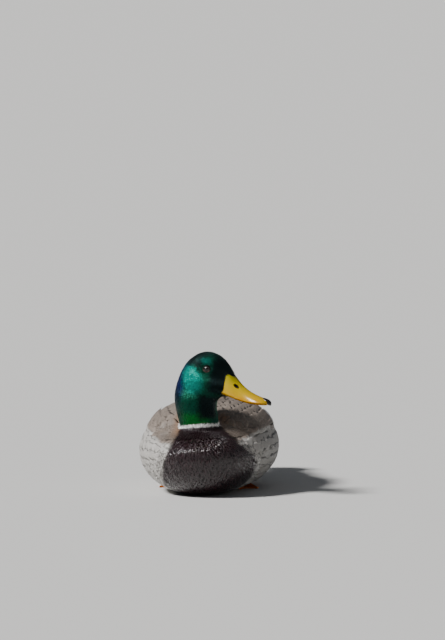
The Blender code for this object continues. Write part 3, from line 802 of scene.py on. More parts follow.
speculumBands = ((0.0, (0.012, 0.040, 0.260)), (0.78, (0.018, 0.030, 0.280)), (0.80, (0.006, 0.006, 0.008)),
                 (0.90, (0.006, 0.006, 0.008)), (0.925, (0.80, 0.79, 0.77)))
covertBands = ((0.0, (0.150, 0.120, 0.100)), (0.80, (0.150, 0.120, 0.100)), (0.83, (0.80, 0.79, 0.77)),
               (0.91, (0.80, 0.79, 0.77)), (0.93, (0.008, 0.008, 0.010)))
materials = {
    "green": featherMaterial("greenFeathers", barbs=0.06, shaft=0.0, speckle=0.30, bump=0.2,
                             gloss=0.85, Roughness=0.38),
    "flank": featherMaterial("greyFeathers", barbs=0.04, rim=0.03, shaft=0.03, bars=0.30, Roughness=0.62),
    "breast": featherMaterial("chestnutFeathers", barbs=0.10, rim=0.30, shaft=0.1, bump=0.45, Roughness=0.28,
                              Specular_IOR_Level=0.30, Coat_Weight=0.80, Coat_Roughness=0.10),
    "black": featherMaterial("blackFeathers", barbs=0.10, rim=0.2, shaft=0.1, Roughness=0.42),
    "mantle": featherMaterial("mantleFeathers", barbs=0.06, rim=0.15, shaft=0.06, bars=0.16, Roughness=0.6),
    "scapular": featherMaterial("scapularFeathers", barbs=0.06, rim=0.22, shaft=0.22, bars=0.14,
                                Roughness=0.6),
    "tertial": featherMaterial("tertialFeathers", barbs=0.06, rim=0.45, shaft=0.22, Roughness=0.55),
    "speculum": bandMaterial("speculum", speculumBands, (0.76, 0.82), Roughness=0.32),
    "covert": bandMaterial("greaterCoverts", covertBands, Roughness=0.5),
    "primary": featherMaterial("primaryFeathers", barbs=0.10, rim=0.25, shaft=0.25, Roughness=0.5),
    "tail": featherMaterial("tailFeathers", barbs=0.05, rim=3.4, shaft=0.35, rimStart=0.40, Roughness=0.6),
}
paint(skin, skinMaterial())
fitPiece(skin, "body_plumage", *fleshNodes)
print("materials: %d for the feathers" % len(materials))

# the coat, in pieces: it leaves the eyes and the bill free
faceGaps = {
    "eyeRadius": 0.0042, "eyeAhead": 0.0010, "eyeLength": 1.25, "eyeOut": 0.010,
    "billFrom": 0.024, "billHalf": 0.0112, "billTop": -0.0025, "billSlope": 0.55, "slopeFrom": 0.027,
    "billUnder": -0.029, "ridgeHalf": 0.0065, "ridgeEnds": (0.040, 0.026),
}
collarZone = {"below": 0.001, "half": 0.012, "reach": 0.060}
coatEnds = {"green": 0.5, "breast": 0.02, "neck": -0.020, "tail": 0.113}
faceFeathers = {"least": 0.55, "more": 0.45, "ends": (0.030, -0.012)}


def clearOfFace(places):
    u, v, w = inHead(places).T
    side = np.abs(v)
    fromEye = np.sqrt(((u - faceGaps["eyeAhead"]) / faceGaps["eyeLength"]) ** 2 + w ** 2)
    byEye = (fromEye < faceGaps["eyeRadius"]) & (side > faceGaps["eyeOut"])
    billTop = faceGaps["billTop"] - faceGaps["billSlope"] * np.maximum(u - faceGaps["slopeFrom"], 0.0)
    inBill = (u > faceGaps["billFrom"]) & (side < faceGaps["billHalf"])
    inBill &= (w < billTop) & (w > faceGaps["billUnder"])
    inBill &= side > faceGaps["ridgeHalf"] * ramp(u, *faceGaps["ridgeEnds"])
    return ~(byEye | inBill)


def isGreen(places):
    return greenMask(places) > coatEnds["green"]


def isNeck(places):
    return inHead(places)[:, 2] <= coatEnds["neck"]


def isTail(places):
    return inBody(places)[:, 1] >= coatEnds["tail"]


def byCollar(places):
    gap = places[:, 2] - collarHeight(places)
    near = neckReach(places) < collarZone["reach"]
    return (np.abs(gap + collarZone["below"]) < collarZone["half"]) & near


def onBreast(places):
    return ~isGreen(places) & (breastMask(places) > coatEnds["breast"]) & ~byCollar(places)


def offBreast(places):
    return ~isGreen(places) & (breastMask(places) <= coatEnds["breast"]) & ~byCollar(places) & ~isTail(places)


def onFlank(places):
    return places[:, 2] < readOff("mantleEdge", inBody(places)[:, 1])


def faceSize(places):
    return faceFeathers["least"] + faceFeathers["more"] * ramp(inHead(places)[:, 0], *faceFeathers["ends"])


coat = {
    "headCoat": {"length": 0.0042, "halfWidth": 0.00088, "spacing": 0.00088, "material": "green",
                 "slot": "green_plumage", "spans": 4, "across": 4, "stray": 0.08, "vary": 0.2,
                 "tipLift": 0.00012, "rootSink": 0.0008, "roll": 0.04, "cup": 0.12, "shadeVary": 0.16,
                 "wander": 0.0012, "sizeAt": faceSize, "unwrap": "head",
                 "where": lambda p: isGreen(p) & ~isNeck(p) & clearOfFace(p)},
    "neckCoat": {"length": 0.0056, "halfWidth": 0.0011, "spacing": 0.00118, "material": "green",
                 "slot": "green_plumage", "spans": 4, "across": 4, "stray": 0.08, "vary": 0.2,
                 "tipLift": 0.0002, "rootSink": 0.0010, "roll": 0.04, "cup": 0.13, "shadeVary": 0.18,
                 "wander": 0.0008, "unwrap": "head",
                 "where": lambda p: isGreen(p) & isNeck(p) & ~byCollar(p)},
    "collarCoat": {"length": 0.0052, "halfWidth": 0.0013, "spacing": 0.00135, "material": "green",
                   "slot": "green_plumage", "spans": 4, "across": 4, "stray": 0.08, "vary": 0.2,
                   "tipLift": 0.0002, "rootSink": 0.0012, "roll": 0.04, "cup": 0.13, "shadeVary": 0.14,
                   "wander": 0.0004, "unwrap": "neck", "where": byCollar},
    "breastCoat": {"length": 0.0108, "halfWidth": 0.0024, "spacing": 0.00185, "material": "breast",
                   "slot": "body_plumage", "spans": 5, "across": 4, "stray": 0.08, "vary": 0.25,
                   "tipLift": 0.0002, "rootSink": 0.0015, "roll": 0.04, "cup": 0.075, "shadeVary": 0.22,
                   "where": onBreast},
    "flankCoat": {"length": 0.0165, "halfWidth": 0.0050, "spacing": 0.0034, "material": "flank",
                  "slot": "body_plumage", "spans": 5, "across": 4, "stray": 0.08, "vary": 0.2,
                  "tipLift": 0.00015, "rootSink": 0.0011, "roll": 0.012, "cup": 0.035, "shadeVary": 0.07,
                  "where": lambda p: offBreast(p) & onFlank(p)},
    "backCoat": {"length": 0.0130, "halfWidth": 0.0046, "spacing": 0.0036, "material": "mantle",
                 "slot": "wing_plumage", "spans": 5, "across": 6, "stray": 0.09, "vary": 0.2,
                 "tipLift": 0.0004, "rootSink": 0.0017, "roll": 0.03, "cup": 0.08, "shadeVary": 0.12,
                 "where": lambda p: offBreast(p) & ~onFlank(p)},
    "tailCoverts": {"length": 0.0240, "halfWidth": 0.0050, "spacing": 0.0038, "material": "black",
                    "slot": "black_plumage", "spans": 5, "across": 6, "stray": 0.06, "vary": 0.2,
                    "tipLift": 0.0002, "rootSink": 0.0018, "roll": 0.015, "cup": 0.05, "shadeVary": 0.2,
                    "where": lambda p: ~isGreen(p) & isTail(p)},
}
for seed, (name, kind) in enumerate(coat.items()):
    roots = scatter(kind["where"], kind["spacing"], 100 + seed)
    piece = growFeathers(name, roots, kind, 200 + seed)
    paint(piece, materials[kind["material"]])
    fitPiece(piece, kind["slot"])
print("coat: %d pieces" % len(coat))


# large feathers of the folded wing, the scapulars and the tail
def surfaceAt(y, degrees):
    angle = math.radians(degrees)
    start = Vector((bodyMiddle.x, bodyMiddle.y + y, bodyAxisHeight))
    hit = outerTree.ray_cast(start, Vector((math.sin(angle), 0.0, math.cos(angle))))
    return np.array(hit[0])


def plainTint(name):
    return lambda places: np.tile(np.array(plumageColours[name]), (len(places), 1))


# rows: side, place along the body, angle from the top, length, half width, turn outwards, height
def layFeathers(name, rows, settings, material, slot, tintOf, seed):
    local = np.random.default_rng(seed)
    shares = np.array(rowShares[settings["spans"]])
    rows = np.array(rows)
    roots = np.array([surfaceAt(y, side * angle) for side, y, angle in rows[:, :3]])
    roots, facing = settle(roots)
    turn = np.radians(rows[:, 5] + local.normal(0.0, settings.get("strayDegrees", 1.5), len(rows)))
    tailward = unit(flatten(np.tile(np.array([0.0, 1.0, 0.0]), (len(rows), 1)), facing))
    outward = np.cross(facing, tailward) * -rows[:, :1]
    lie = tailward * np.cos(turn)[:, None] + outward * np.sin(turn)[:, None]
    lengths = rows[:, 3] * (1.0 + local.uniform(-0.05, 0.05, len(rows)))
    centres, normals = followSurface(roots, lie, lengths, shares)
    sunk = settings["rootSink"]
    heights = -sunk + (sunk + rows[:, 6])[:, None] * shares[None, :] ** 0.7
    spots, patch = sheetCells(len(rows))
    piece = buildVanes(name, centres, normals, heights, rows[:, 4], settings, tintOf, spots, patch, seed + 1)
    paint(piece, materials[material])
    fitPiece(piece, slot)


scapular = {
    "spans": 8, "across": 6, "taper": 0.45, "rootWidth": 0.35, "roll": 0.01, "cup": 0.055,
    "shadeVary": 0.10, "rootSink": 0.0020, "wander": 0.0, "halfWidth": 0.0086, "sink": 0.29, "turn": 1.0,
    "lines": [    # angle from the top, place of the first, step, count, length
        (57.0, -0.098, 0.0103, 8, 0.040), (49.0, -0.104, 0.0107, 10, 0.046),
        (40.0, -0.100, 0.0110, 11, 0.050), (31.0, -0.094, 0.0114, 11, 0.050),
        (22.0, -0.086, 0.0118, 11, 0.048), (12.5, -0.078, 0.0118, 11, 0.046),
        (3.5, -0.072, 0.0118, 11, 0.044)],
}
scapularRows = []
for side in (-1.0, 1.0):
    for line, (angle, start, step, count, length) in enumerate(scapular["lines"]):
        for n in range(count):
            scapularRows.append((side, start + step * n, angle + scapular["sink"] * n,
                                 length * (0.62 + 0.05 * n), scapular["halfWidth"], scapular["turn"],
                                 0.0006 + 0.0001 * line))
layFeathers("scapulars", scapularRows, scapular, "scapular", "wing_plumage", plumage, 31)

tertial = {
    "spans": 8, "across": 6, "taper": 0.50, "rootWidth": 0.45, "roll": 0.02, "cup": 0.08,
    "shadeVary": 0.10, "rootSink": 0.0020, "wander": 0.0, "turn": -3.0,
    "feathers": [    # place, angle from the top, length, half width
        (0.010, 54.0, 0.075, 0.0088), (0.008, 47.0, 0.084, 0.0092), (0.004, 39.0, 0.090, 0.0094),
        (0.000, 30.0, 0.088, 0.0090), (-0.004, 21.0, 0.082, 0.0086), (-0.006, 12.0, 0.074, 0.0080)],
}
tertialRows = []
for side in (-1.0, 1.0):
    for n, (y, angle, length, width) in enumerate(tertial["feathers"]):
        tertialRows.append((side, y, angle, length, width, tertial["turn"], 0.0022 + 0.0003 * n))
layFeathers("tertials", tertialRows, tertial, "tertial", "wing_plumage", plainTint("tertial"), 33)

# the wing bar: the secondaries, and the coverts that overlap their roots
secondary = {"spans": 8, "across": 6, "taper": 0.88, "rootWidth": 0.80, "roll": 0.0, "cup": 0.10,
             "shadeVary": 0.05, "rootSink": 0.0010, "wander": 0.0, "strayDegrees": 0.3, "count": 8}


# rows for both wings: start and step of the place and of the angle, then the sizes
def barRows(place, placeStep, angle, angleStep, length, halfWidth, height):
    return [(side, place + placeStep * n, angle - angleStep * n, length, halfWidth, -1.0, height + 0.0002 * n)
            for side in (-1.0, 1.0) for n in range(secondary["count"])]


secondaryRows = barRows(0.016, 0.0011, 73.0, 2.0, 0.046, 0.0052, 0.0013)
covertRows = barRows(-0.012, 0.0012, 74.0, 2.2, 0.038, 0.0053, 0.0018)
layFeathers("secondaries", secondaryRows, secondary, "speculum", "flight_feathers", plainTint("barBlue"), 35)
layFeathers("greaterCoverts", covertRows, secondary, "covert", "wing_plumage", plainTint("covert"), 36)

# broad flank feathers that reach up over the wing's edge, and none with its root in the breast
plume = {
    "spans": 8, "across": 6, "taper": 0.55, "rootWidth": 0.50, "roll": 0.01, "cup": 0.05,
    "shadeVary": 0.06, "rootSink": 0.0016, "wander": 0.0, "strayDegrees": 2.0, "stagger": 1.2,
    "grownAfter": 9.0, "length": (0.017, 0.021), "halfWidth": (0.0052, 0.0040), "step": (0.0075, 0.0040),
    "lines": [    # angle from the top, place of the first, count, turn
        (122.0, -0.139, 9, 0.0), (114.0, -0.147, 23, -1.0), (107.0, -0.152, 23, -2.0),
        (100.0, -0.154, 23, -3.0), (93.0, -0.152, 23, -5.0), (86.0, -0.150, 22, -8.0),
        (80.0, -0.118, 18, -10.0)],
}


def flankTint(places):
    colour = np.tile(np.array(plumageColours["flank"]), (len(places), 1))
    colour = blend(colour, plumageColours["belly"], fade(places[:, 2], "bellyHeight"))
    return blend(colour, plumageColours["breast"], breastMask(places))


# the first plumes of a line are small, and the second number is what a full-grown one adds
def grownSize(name, grown):
    return plume[name][0] + plume[name][1] * grown


plumeRows = []
for side in (-1.0, 1.0):
    for line, (angle, start, count, turn) in enumerate(plume["lines"]):
        y = start
        for n in range(count):
            grown = min(n / plume["grownAfter"], 1.0)
            if breastMask(np.array([surfaceAt(y, side * angle)]))[0] < 0.3:
                plumeRows.append((side, y, angle + plume["stagger"] * (n % 2), grownSize("length", grown),
                                  grownSize("halfWidth", grown), turn, 0.0003 + 0.00012 * line))
            y += grownSize("step", grown)
layFeathers("flankPlumes", plumeRows, plume, "flank", "body_plumage", flankTint, 41)


# free feathers run straight from a root to a tip: root, tip, half width, droop, facing
def freeFeathers(name, rows, settings, material, slot, tint, seed, *nodes):
    shares = np.array(rowShares[settings["spans"]])
    roots, tips = (np.array([row[k] for row in rows]) for k in (0, 1))
    widths, droops = (np.array([row[k] for row in rows]) for k in (2, 3))
    centres = roots[:, None] + (tips - roots)[:, None] * shares[None, :, None]
    centres[:, :, 2] += droops[:, None] * 4.0 * shares * (1.0 - shares)
    along = unit(centres[:, -1] - centres[:, 0])
    facing = flatten(np.array([row[4] for row in rows]), along)
    facing /= np.linalg.norm(facing, axis=1, keepdims=True)
    normals = np.repeat(facing[:, None], len(shares), axis=1)
    heights = np.zeros((len(rows), len(shares)))
    spots, patch = sheetCells(len(rows))
    piece = buildVanes(name, centres, normals, heights, widths, settings, plainTint(tint), spots, patch, seed)
    paint(piece, materials[material])
    fitPiece(piece, slot, *nodes)


primary = {"spans": 8, "across": 6, "taper": 0.40, "rootWidth": 0.70, "roll": 0.0, "cup": 0.12,
           "shadeVary": 0.10, "wander": 0.0, "count": 6, "halfWidth": 0.0052, "droop": 0.0018,
           "rootBack": 0.090, "tipStep": 0.0085, "facingOut": 0.25}
primaryRows = []
for side, node in ((1.0, "wing_tip_left"), (-1.0, "wing_tip_right")):
    low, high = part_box(node)
    inner, outer = (low[0], high[0]) if side > 0 else (high[0], low[0])
    for n in range(primary["count"]):
        share = n / (primary["count"] - 1.0)
        root = (outer + side * (0.012 - 0.006 * share), bodyMiddle.y + primary["rootBack"],
                low[2] + 0.0010 + 0.0007 * n)
        tip = (inner + (outer - inner) * (0.16 + 0.10 * share),
               high[1] - primary["tipStep"] * (primary["count"] - 1 - n), high[2] - 0.0010)
        primaryRows.append((root, tip, primary["halfWidth"], primary["droop"],
                            (primary["facingOut"] * side, 0.0, 1.0)))
freeFeathers("primaries", primaryRows, primary, "primary", "flight_feathers", "primary", 37,
             "wing_tip_left", "wing_tip_right")

rectrix = {"spans": 8, "across": 6, "taper": 0.55, "rootWidth": 0.55, "roll": 0.0, "cup": 0.10,
           "shadeVary": 0.06, "wander": 0.0, "halfWidth": 0.0066, "droop": 0.0010, "facingOut": 0.30,
           "rootsHalf": 0.019, "rootsAhead": 0.016, "fanDegrees": 20.0, "length": 0.0655}
tailLow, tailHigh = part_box("tail")
tailRows = []
for n in range(18):
    across = (n - 8.5) / 8.5         # -1 on the bird's right, 1 on its left
    off = abs(across)
    fan = math.radians(rectrix["fanDegrees"]) * across
    root = Vector((bodyMiddle.x + rectrix["rootsHalf"] * across, tailLow[1] - rectrix["rootsAhead"],
                   tailHigh[2] - 0.0045 - 0.003 * off))
    reach = (rectrix["length"] - 0.010 * off ** 2) / math.cos(fan) * (1.0 - 0.06 * off)
    tip = root + Vector((math.sin(fan) * reach, math.cos(fan) * reach, -0.0055 - 0.0025 * off))
    root.z += 0.0006 * (9 - abs(n - 8.5)) * 0.5      # the middle feathers lie on top
    tailRows.append((tuple(root), tuple(tip), rectrix["halfWidth"], rectrix["droop"],
                     (rectrix["facingOut"] * across, 0.0, 1.0)))
freeFeathers("tailFeathers", tailRows, rectrix, "tail", "tail_feathers", "tail", 39, "tail")
print("wings and tail: laid")


# bare parts of the head and the legs
def edit(piece):
    onlySelect(piece)
    bpy.ops.object.mode_set(mode="EDIT")
    bpy.ops.mesh.select_mode(type="VERT")


# extrudes a circle from ring to ring; each ring is a row of places
def loftRings(name, rings):
    bpy.ops.object.select_all(action="DESELECT")
    bpy.ops.mesh.primitive_circle_add(vertices=len(rings[0]), radius=0.01, fill_type="NGON")
    piece = bpy.context.object
    piece.name = name
    for vertex, place in zip(piece.data.vertices, rings[0]):
        vertex.co = place
    bpy.ops.object.mode_set(mode="EDIT")
    bpy.ops.mesh.select_all(action="SELECT")
    for before, ring in zip(rings, rings[1:]):
        bpy.ops.mesh.extrude_region_move()
        shaping = bmesh.from_edit_mesh(piece.data)
        where = {tuple(round(c, 7) for c in place): k for k, place in enumerate(before)}
        for vertex in shaping.verts:
            if vertex.select:
                vertex.co = ring[where[tuple(round(c, 7) for c in vertex.co)]]
        bmesh.update_edit_mesh(piece.data)
    bpy.ops.mesh.select_all(action="SELECT")
    bpy.ops.mesh.normals_make_consistent(inside=False)
    bpy.ops.object.mode_set(mode="OBJECT")
    return piece


def smoothStations(stations, steps):
    rows = np.array(stations, dtype=float)
    spread = np.vstack([2 * rows[0] - rows[1], rows, 2 * rows[-1] - rows[-2]])
    result = []
    for k in range(len(rows) - 1):
        a, b, c, d = spread[k:k + 4]
        for step in range(steps):
            t = step / steps
            result.append(0.5 * (2 * b + (c - a) * t + (2 * a - 5 * b + 4 * c - d) * t ** 2
                                 + (3 * b - a - 3 * c + d) * t ** 3))
    return np.array(result + [rows[-1]])


def arch(value, power):
    return math.copysign(abs(value) ** power, value)


bill = {
    "upper": [    # forward, half width, ridge, cutting edge, squareness of the arch
        (0.0170, 0.0092, -0.0004, -0.0262, 8.0), (0.0270, 0.0099, -0.0010, -0.0268, 8.0),
        (0.0330, 0.0103, -0.0032, -0.0276, 4.5), (0.0377, 0.0104, -0.0062, -0.0284, 3.0),
        (0.0460, 0.0101, -0.0118, -0.0296, 2.3), (0.0560, 0.0105, -0.0170, -0.0303, 2.0),
        (0.0660, 0.0116, -0.0203, -0.0302, 1.9), (0.0750, 0.0122, -0.0221, -0.0292, 1.9),
        (0.0820, 0.0112, -0.0234, -0.0282, 1.9), (0.0866, 0.0080, -0.0246, -0.0279, 1.9),
        (0.0890, 0.0034, -0.0262, -0.0277, 1.9)],
    "lower": [    # forward, half width, upper side, keel
        (0.0180, 0.0078, -0.0270, -0.0296), (0.0270, 0.0088, -0.0280, -0.0302),
        (0.0460, 0.0085, -0.0308, -0.0328), (0.0560, 0.0087, -0.0315, -0.0337),
        (0.0660, 0.0093, -0.0314, -0.0337), (0.0780, 0.0091, -0.0304, -0.0325),
        (0.0840, 0.0065, -0.0296, -0.0316), (0.0860, 0.0026, -0.0296, -0.0309)],
    "archSteps": 20, "keelSteps": 12, "nailPoints": 20,
    "flare": 0.05, "lip": 0.0011, "roof": 0.0022, "rise": 0.0004,
    "nostril": (0.0424, 0.0075, -0.0143), "nostrilSize": (0.0046, 0.0032, 0.0022), "nostrilTilt": -24.0,
    "nail": [    # forward, half width, upper side, underside
        (0.0786, 0.0010, -0.0226, -0.0240), (0.0802, 0.0034, -0.0223, -0.0250),
        (0.0834, 0.0050, -0.0224, -0.0270), (0.0868, 0.0058, -0.0232, -0.0294),
        (0.0892, 0.0052, -0.0246, -0.0304), (0.0908, 0.0036, -0.0262, -0.0307),
        (0.0916, 0.0016, -0.0280, -0.0304)],
    "placeSpan": (0.09, 0.0125, 0.034),      # length, half width and depth that the tones run over
    "tones": ((0.10, (0.255, 0.225, 0.000)), (0.45, (0.410, 0.285, 0.000)), (0.75, (0.440, 0.262, 0.000)),
              (0.95, (0.420, 0.175, 0.000))),
}


# one ring of the upper bill: the arch over it, then its hollow underside
def upperRing(row):
    u, halfWidth, ridge, edgeHeight, square = row
    ring = []
    for k in range(bill["archSteps"] + 1):
        angle = math.pi * k / bill["archSteps"]
        flare = 1.0 + bill["flare"] * (1.0 - math.sin(angle)) ** 6
        v = halfWidth * arch(math.cos(angle), 2 / square) * flare
        w = edgeHeight + (ridge - edgeHeight) * arch(math.sin(angle), 2 / square)
        ring.append(headPlace(u, v, w))
    for share, drop in ((-0.97, bill["lip"]), (-0.86, bill["lip"]), (-0.74, 0.0), (-0.4, -bill["roof"]),
                        (0.0, -bill["roof"] * 1.2), (0.4, -bill["roof"]), (0.74, 0.0), (0.86, bill["lip"]),
                        (0.97, bill["lip"])):
        drop = max(drop, (edgeHeight - ridge) * 0.5)
        ring.append(headPlace(u, halfWidth * share, edgeHeight - drop))
    return ring


def lowerRing(row):
    u, halfWidth, top, keel = row
    ring = []
    for k in range(bill["keelSteps"] + 1):
        angle = math.pi * k / bill["keelSteps"]
        w = top + (keel - top) * arch(math.sin(angle), 0.6)
        ring.append(headPlace(u, halfWidth * math.cos(angle), w))
    for share in (-0.7, -0.35, 0.0, 0.35, 0.7):
        ring.append(headPlace(u, halfWidth * share, top + bill["rise"] * (1.0 - share ** 2)))
    return ring


# an egg at a place in the head, with its own three radii, tilted in the bill's side view
def headEgg(name, place, size, tilt=0.0, segments=24, rings=14):
    bpy.ops.object.select_all(action="DESELECT")
    bpy.ops.mesh.primitive_uv_sphere_add(segments=segments, ring_count=rings, radius=1.0)
    egg = bpy.context.object
    egg.name = name
    c, s = math.cos(math.radians(tilt)), math.sin(math.radians(tilt))
    for vertex in egg.data.vertices:
        a, b, d = (vertex.co[k] * size[k] for k in range(3))
        vertex.co = headPlace(place[0] + a * c - d * s, place[1] + b, place[2] + a * s + d * c)
    edit(egg)
    bpy.ops.mesh.select_all(action="SELECT")
    bpy.ops.mesh.normals_make_consistent(inside=False)
    bpy.ops.object.mode_set(mode="OBJECT")
    smoothShade(egg)
    return egg


# the bill's own coordinates: forward, out to the side and down
def billCoordinates(piece):
    u, v, w = inHead(meshPoints(piece.data)).T
    length, half, depth = bill["placeSpan"]
    setColours(piece, np.stack([u / length, np.abs(v) / half, -w / depth], axis=1), "place")


def billMaterial():
    material, tree, shader = newMaterial("billHorn", Roughness=0.24, Specular_IOR_Level=0.34)
    down = addNode(tree, "ShaderNodeSeparateXYZ", {0: attribute(tree, "place", "Vector")}).outputs[2]
    clouds = addNode(tree, "ShaderNodeTexNoise", {"Vector": objectPlace(tree), "Scale": 140.0, "Detail": 6.0,
                                                  "Roughness": 0.55}).outputs[0]
    mixed = addMath(tree, "ADD", addMath(tree, "MULTIPLY_ADD", clouds, 0.35, -0.17), down)
    grain = addGrain(tree, addTones(tree, mixed, bill["tones"]), 900.0, 0.93, 1.05, 4.0)
    finish(tree, shader, grain["Colour"], grain["Height"], 0.15, 0.0003)
    return material


def makeBill():
    horn = billMaterial()
    upper = loftRings("billUpper", [upperRing(row) for row in smoothStations(bill["upper"], 3)])
    lower = loftRings("billLower", [lowerRing(row) for row in smoothStations(bill["lower"], 3)])
    for piece in (upper, lower):
        applyModifier(piece, "SUBSURF", levels=1)
        paint(piece, horn)
    # the nostril's cut walls are painted near black as painted shade in the hole
    dark = plainMaterial("nostrilPaintedShade", (0.006, 0.005, 0.004), Roughness=0.9, Specular_IOR_Level=0.1)
    for side in (-1.0, 1.0):     # the cut faces keep the near-black material, painted shade inside the nostril hole
        u, v, w = bill["nostril"]
        hole = headEgg("hole", (u, side * (v + 0.0015), w), bill["nostrilSize"], bill["nostrilTilt"], 48, 32)
        hole.data.materials.append(dark)
        applyModifier(upper, "BOOLEAN", object=hole, operation="DIFFERENCE", solver="EXACT",
                      material_mode="TRANSFER")
        bpy.data.objects.remove(hole)
    for piece, node in ((upper, "bill_upper"), (lower, "bill_lower")):
        onlySelect(piece)
        bpy.ops.object.shade_smooth_by_angle(angle=math.radians(50))
        billCoordinates(piece)
        fitPiece(piece, "bill_yellow", node)
    print("bill: upper and lower, nostrils cut")


def makeNail():
    rings = []
    for u, halfWidth, over, under in bill["nail"]:
        ring = []
        for k in range(bill["nailPoints"]):
            turn = 2 * math.pi * k / bill["nailPoints"]
            w = (over + under) / 2 + (over - under) / 2 * math.sin(turn)
            ring.append(headPlace(u, halfWidth * arch(math.cos(turn), 0.8), w))
        rings.append(ring)
    nail = loftRings("billNail", rings)
    applyModifier(nail, "SUBSURF", levels=1)
    smoothShade(nail)
    paint(nail, plainMaterial("nailHorn", (0.010, 0.009, 0.008), Roughness=0.22))
    fitPiece(nail, "nail_black", "bill_nail")
    print("bill: nail")


makeBill()
makeNail()

eye = {
    "ball": 0.97, "pupil": 0.52, "iris": 0.82, "edge": 0.03, "bulge": 0.00004, "bulgeReach": 0.75,
    "lidRadius": 0.00430, "lidThickness": 0.00034, "lidLength": 1.12, "lidHeight": 0.80,
    "lidOut": 0.0032, "lidLean": 0.10, "lidSteps": 18, "lidPoints": 10,
}


# the ball's tones run from the middle of its front outwards
def eyeMaterial():
    material, tree, shader = newMaterial("eyeball", Roughness=0.05, IOR=1.50)
    away = addNode(tree, "ShaderNodeSeparateXYZ", {0: attribute(tree, "gaze", "Vector")}).outputs[0]
    tones = ((eye["pupil"] - eye["edge"], (0.002, 0.002, 0.002)),
             (eye["pupil"] + eye["edge"], (0.010, 0.004, 0.002)),
             (eye["iris"], (0.012, 0.005, 0.003)), (0.95, (0.006, 0.004, 0.003)))
    tree.links.new(addTones(tree, away, tones), shader.inputs["Base Color"])
    return material


def makeBall(name, side, glass):
    size = (eyeRadius * eye["ball"],) * 3
    ball = headEgg("eye" + name, (0.0, side * eyeOut, 0.0), size, segments=40, rings=28)
    u, v, w = inHead(meshPoints(ball.data)).T
    away = np.where(v * side > eyeOut, np.sqrt(u ** 2 + w ** 2) / eyeRadius, 1.0)
    edit(ball)               # the clear front bulges a little
    shaping = bmesh.from_edit_mesh(ball.data)
    outwards = Vector(headPlace(0.0, side, 0.0)) - Vector(headPlace(0.0, 0.0, 0.0))
    for vertex, far in zip(shaping.verts, away):
        vertex.co += outwards * eye["bulge"] * (1.0 - min(far / eye["bulgeReach"], 1.0) ** 2)
    bmesh.update_edit_mesh(ball.data)
    bpy.ops.object.mode_set(mode="OBJECT")
    setColours(ball, np.stack([away, away, away], axis=1), "gaze")
    paint(ball, glass)
    fitPiece(ball, "eye_brown", "eye_" + name.lower())


# a lid is a thin roll along half of the eye's rim, over it or under it
def makeLid(name, side, upwards, material):
    rings = []
    for k in range(eye["lidSteps"] + 1):
        turn = math.pi * (k / eye["lidSteps"]) * upwards
        swell = eye["lidThickness"] * (0.35 + 0.65 * math.sin(math.pi * k / eye["lidSteps"]) ** 0.6)
        ring = []
        for n in range(eye["lidPoints"]):
            spin = 2 * math.pi * n / eye["lidPoints"]
            reach = eye["lidRadius"] + swell * math.cos(spin) * 1.5
            u = reach * eye["lidLength"] * math.cos(turn)
            w = reach * eye["lidHeight"] * math.sin(turn)
            v = side * (eyeOut + eye["lidOut"] - eye["lidLean"] * abs(u) + swell * math.sin(spin))
            ring.append(headPlace(u, v, w))
        rings.append(ring)
    lid = loftRings(name, rings)
    applyModifier(lid, "SUBSURF", levels=1)
    smoothShade(lid)
    paint(lid, material)
    fitPiece(lid, "eye_brown")


def makeEyes():
    glass = eyeMaterial()
    lidSkin = plainMaterial("lidSkin", (0.120, 0.060, 0.048), Roughness=0.55)
    lidDark = plainMaterial("lidDark", (0.008, 0.010, 0.010), Roughness=0.6)
    for name, side in (("Left", -1.0), ("Right", 1.0)):
        makeBall(name, side, glass)
        makeLid("upperLid" + name, side, 1.0, lidDark)
        makeLid("lowerLid" + name, side, -1.0, lidSkin)
    print("eyes: balls and lids")


makeEyes()

# curled feathers above the rump: each runs back along the coverts, then rolls up and forward
curl = {
    "halfWidth": 0.0042, "thickness": 0.0006, "rollBack": 245.0, "steps": 26, "points": 8,
    "run": 0.030, "drop": 0.0016, "lift": 0.0008, "tighten": 0.30, "rollShare": 0.86, "lean": 0.0016,
    "hollow": 0.22, "rootWidth": 0.30, "outwards": 0.0016, "twinGap": 0.0030, "behind": 0.0005,
    "twins": ((1.0, 0.0), (0.74, 0.0060)),      # size, and how far ahead it starts
}


# one curl: its straight run from the root, then the roll
def curlRings(centre, bottom, radius, scale, side):
    rollRadius = radius * curl["rollShare"]
    arcLength = math.radians(curl["rollBack"]) * radius * curl["rollShare"]
    rings = []
    for k in range(curl["steps"] + 1):
        share = k / curl["steps"]
        walked = (curl["run"] + arcLength) * share
        if walked < curl["run"]:
            drop = curl["drop"] * (1.0 - walked / curl["run"])
            spot = Vector((centre.x, centre.y - curl["run"] + walked, bottom - drop))
            out = Vector((0.0, 0.05, 1.0))
        else:
            angle = (walked - curl["run"]) / rollRadius
            shrink = radius * (1.0 - curl["tighten"] * (walked - curl["run"]) / arcLength)
            spot = centre + Vector((-side * curl["lean"] * angle, math.sin(angle) * shrink,
                                    -math.cos(angle) * shrink))
            out = Vector((0.0, -math.sin(angle), math.cos(angle)))
        narrowing = math.sin(math.pi * min(share * 0.85 + 0.15, 1.0)) ** 0.7
        width = curl["halfWidth"] * scale * (curl["rootWidth"] + 0.70 * narrowing)
        ring = []
        for n in range(curl["points"]):
            spin = 2 * math.pi * n / curl["points"]
            lift = curl["thickness"] * math.sin(spin) + curl["hollow"] * width * math.cos(spin) ** 2
            ring.append(spot + Vector((width * math.cos(spin), 0, 0)) + out * lift)
        rings.append(ring)
    return rings


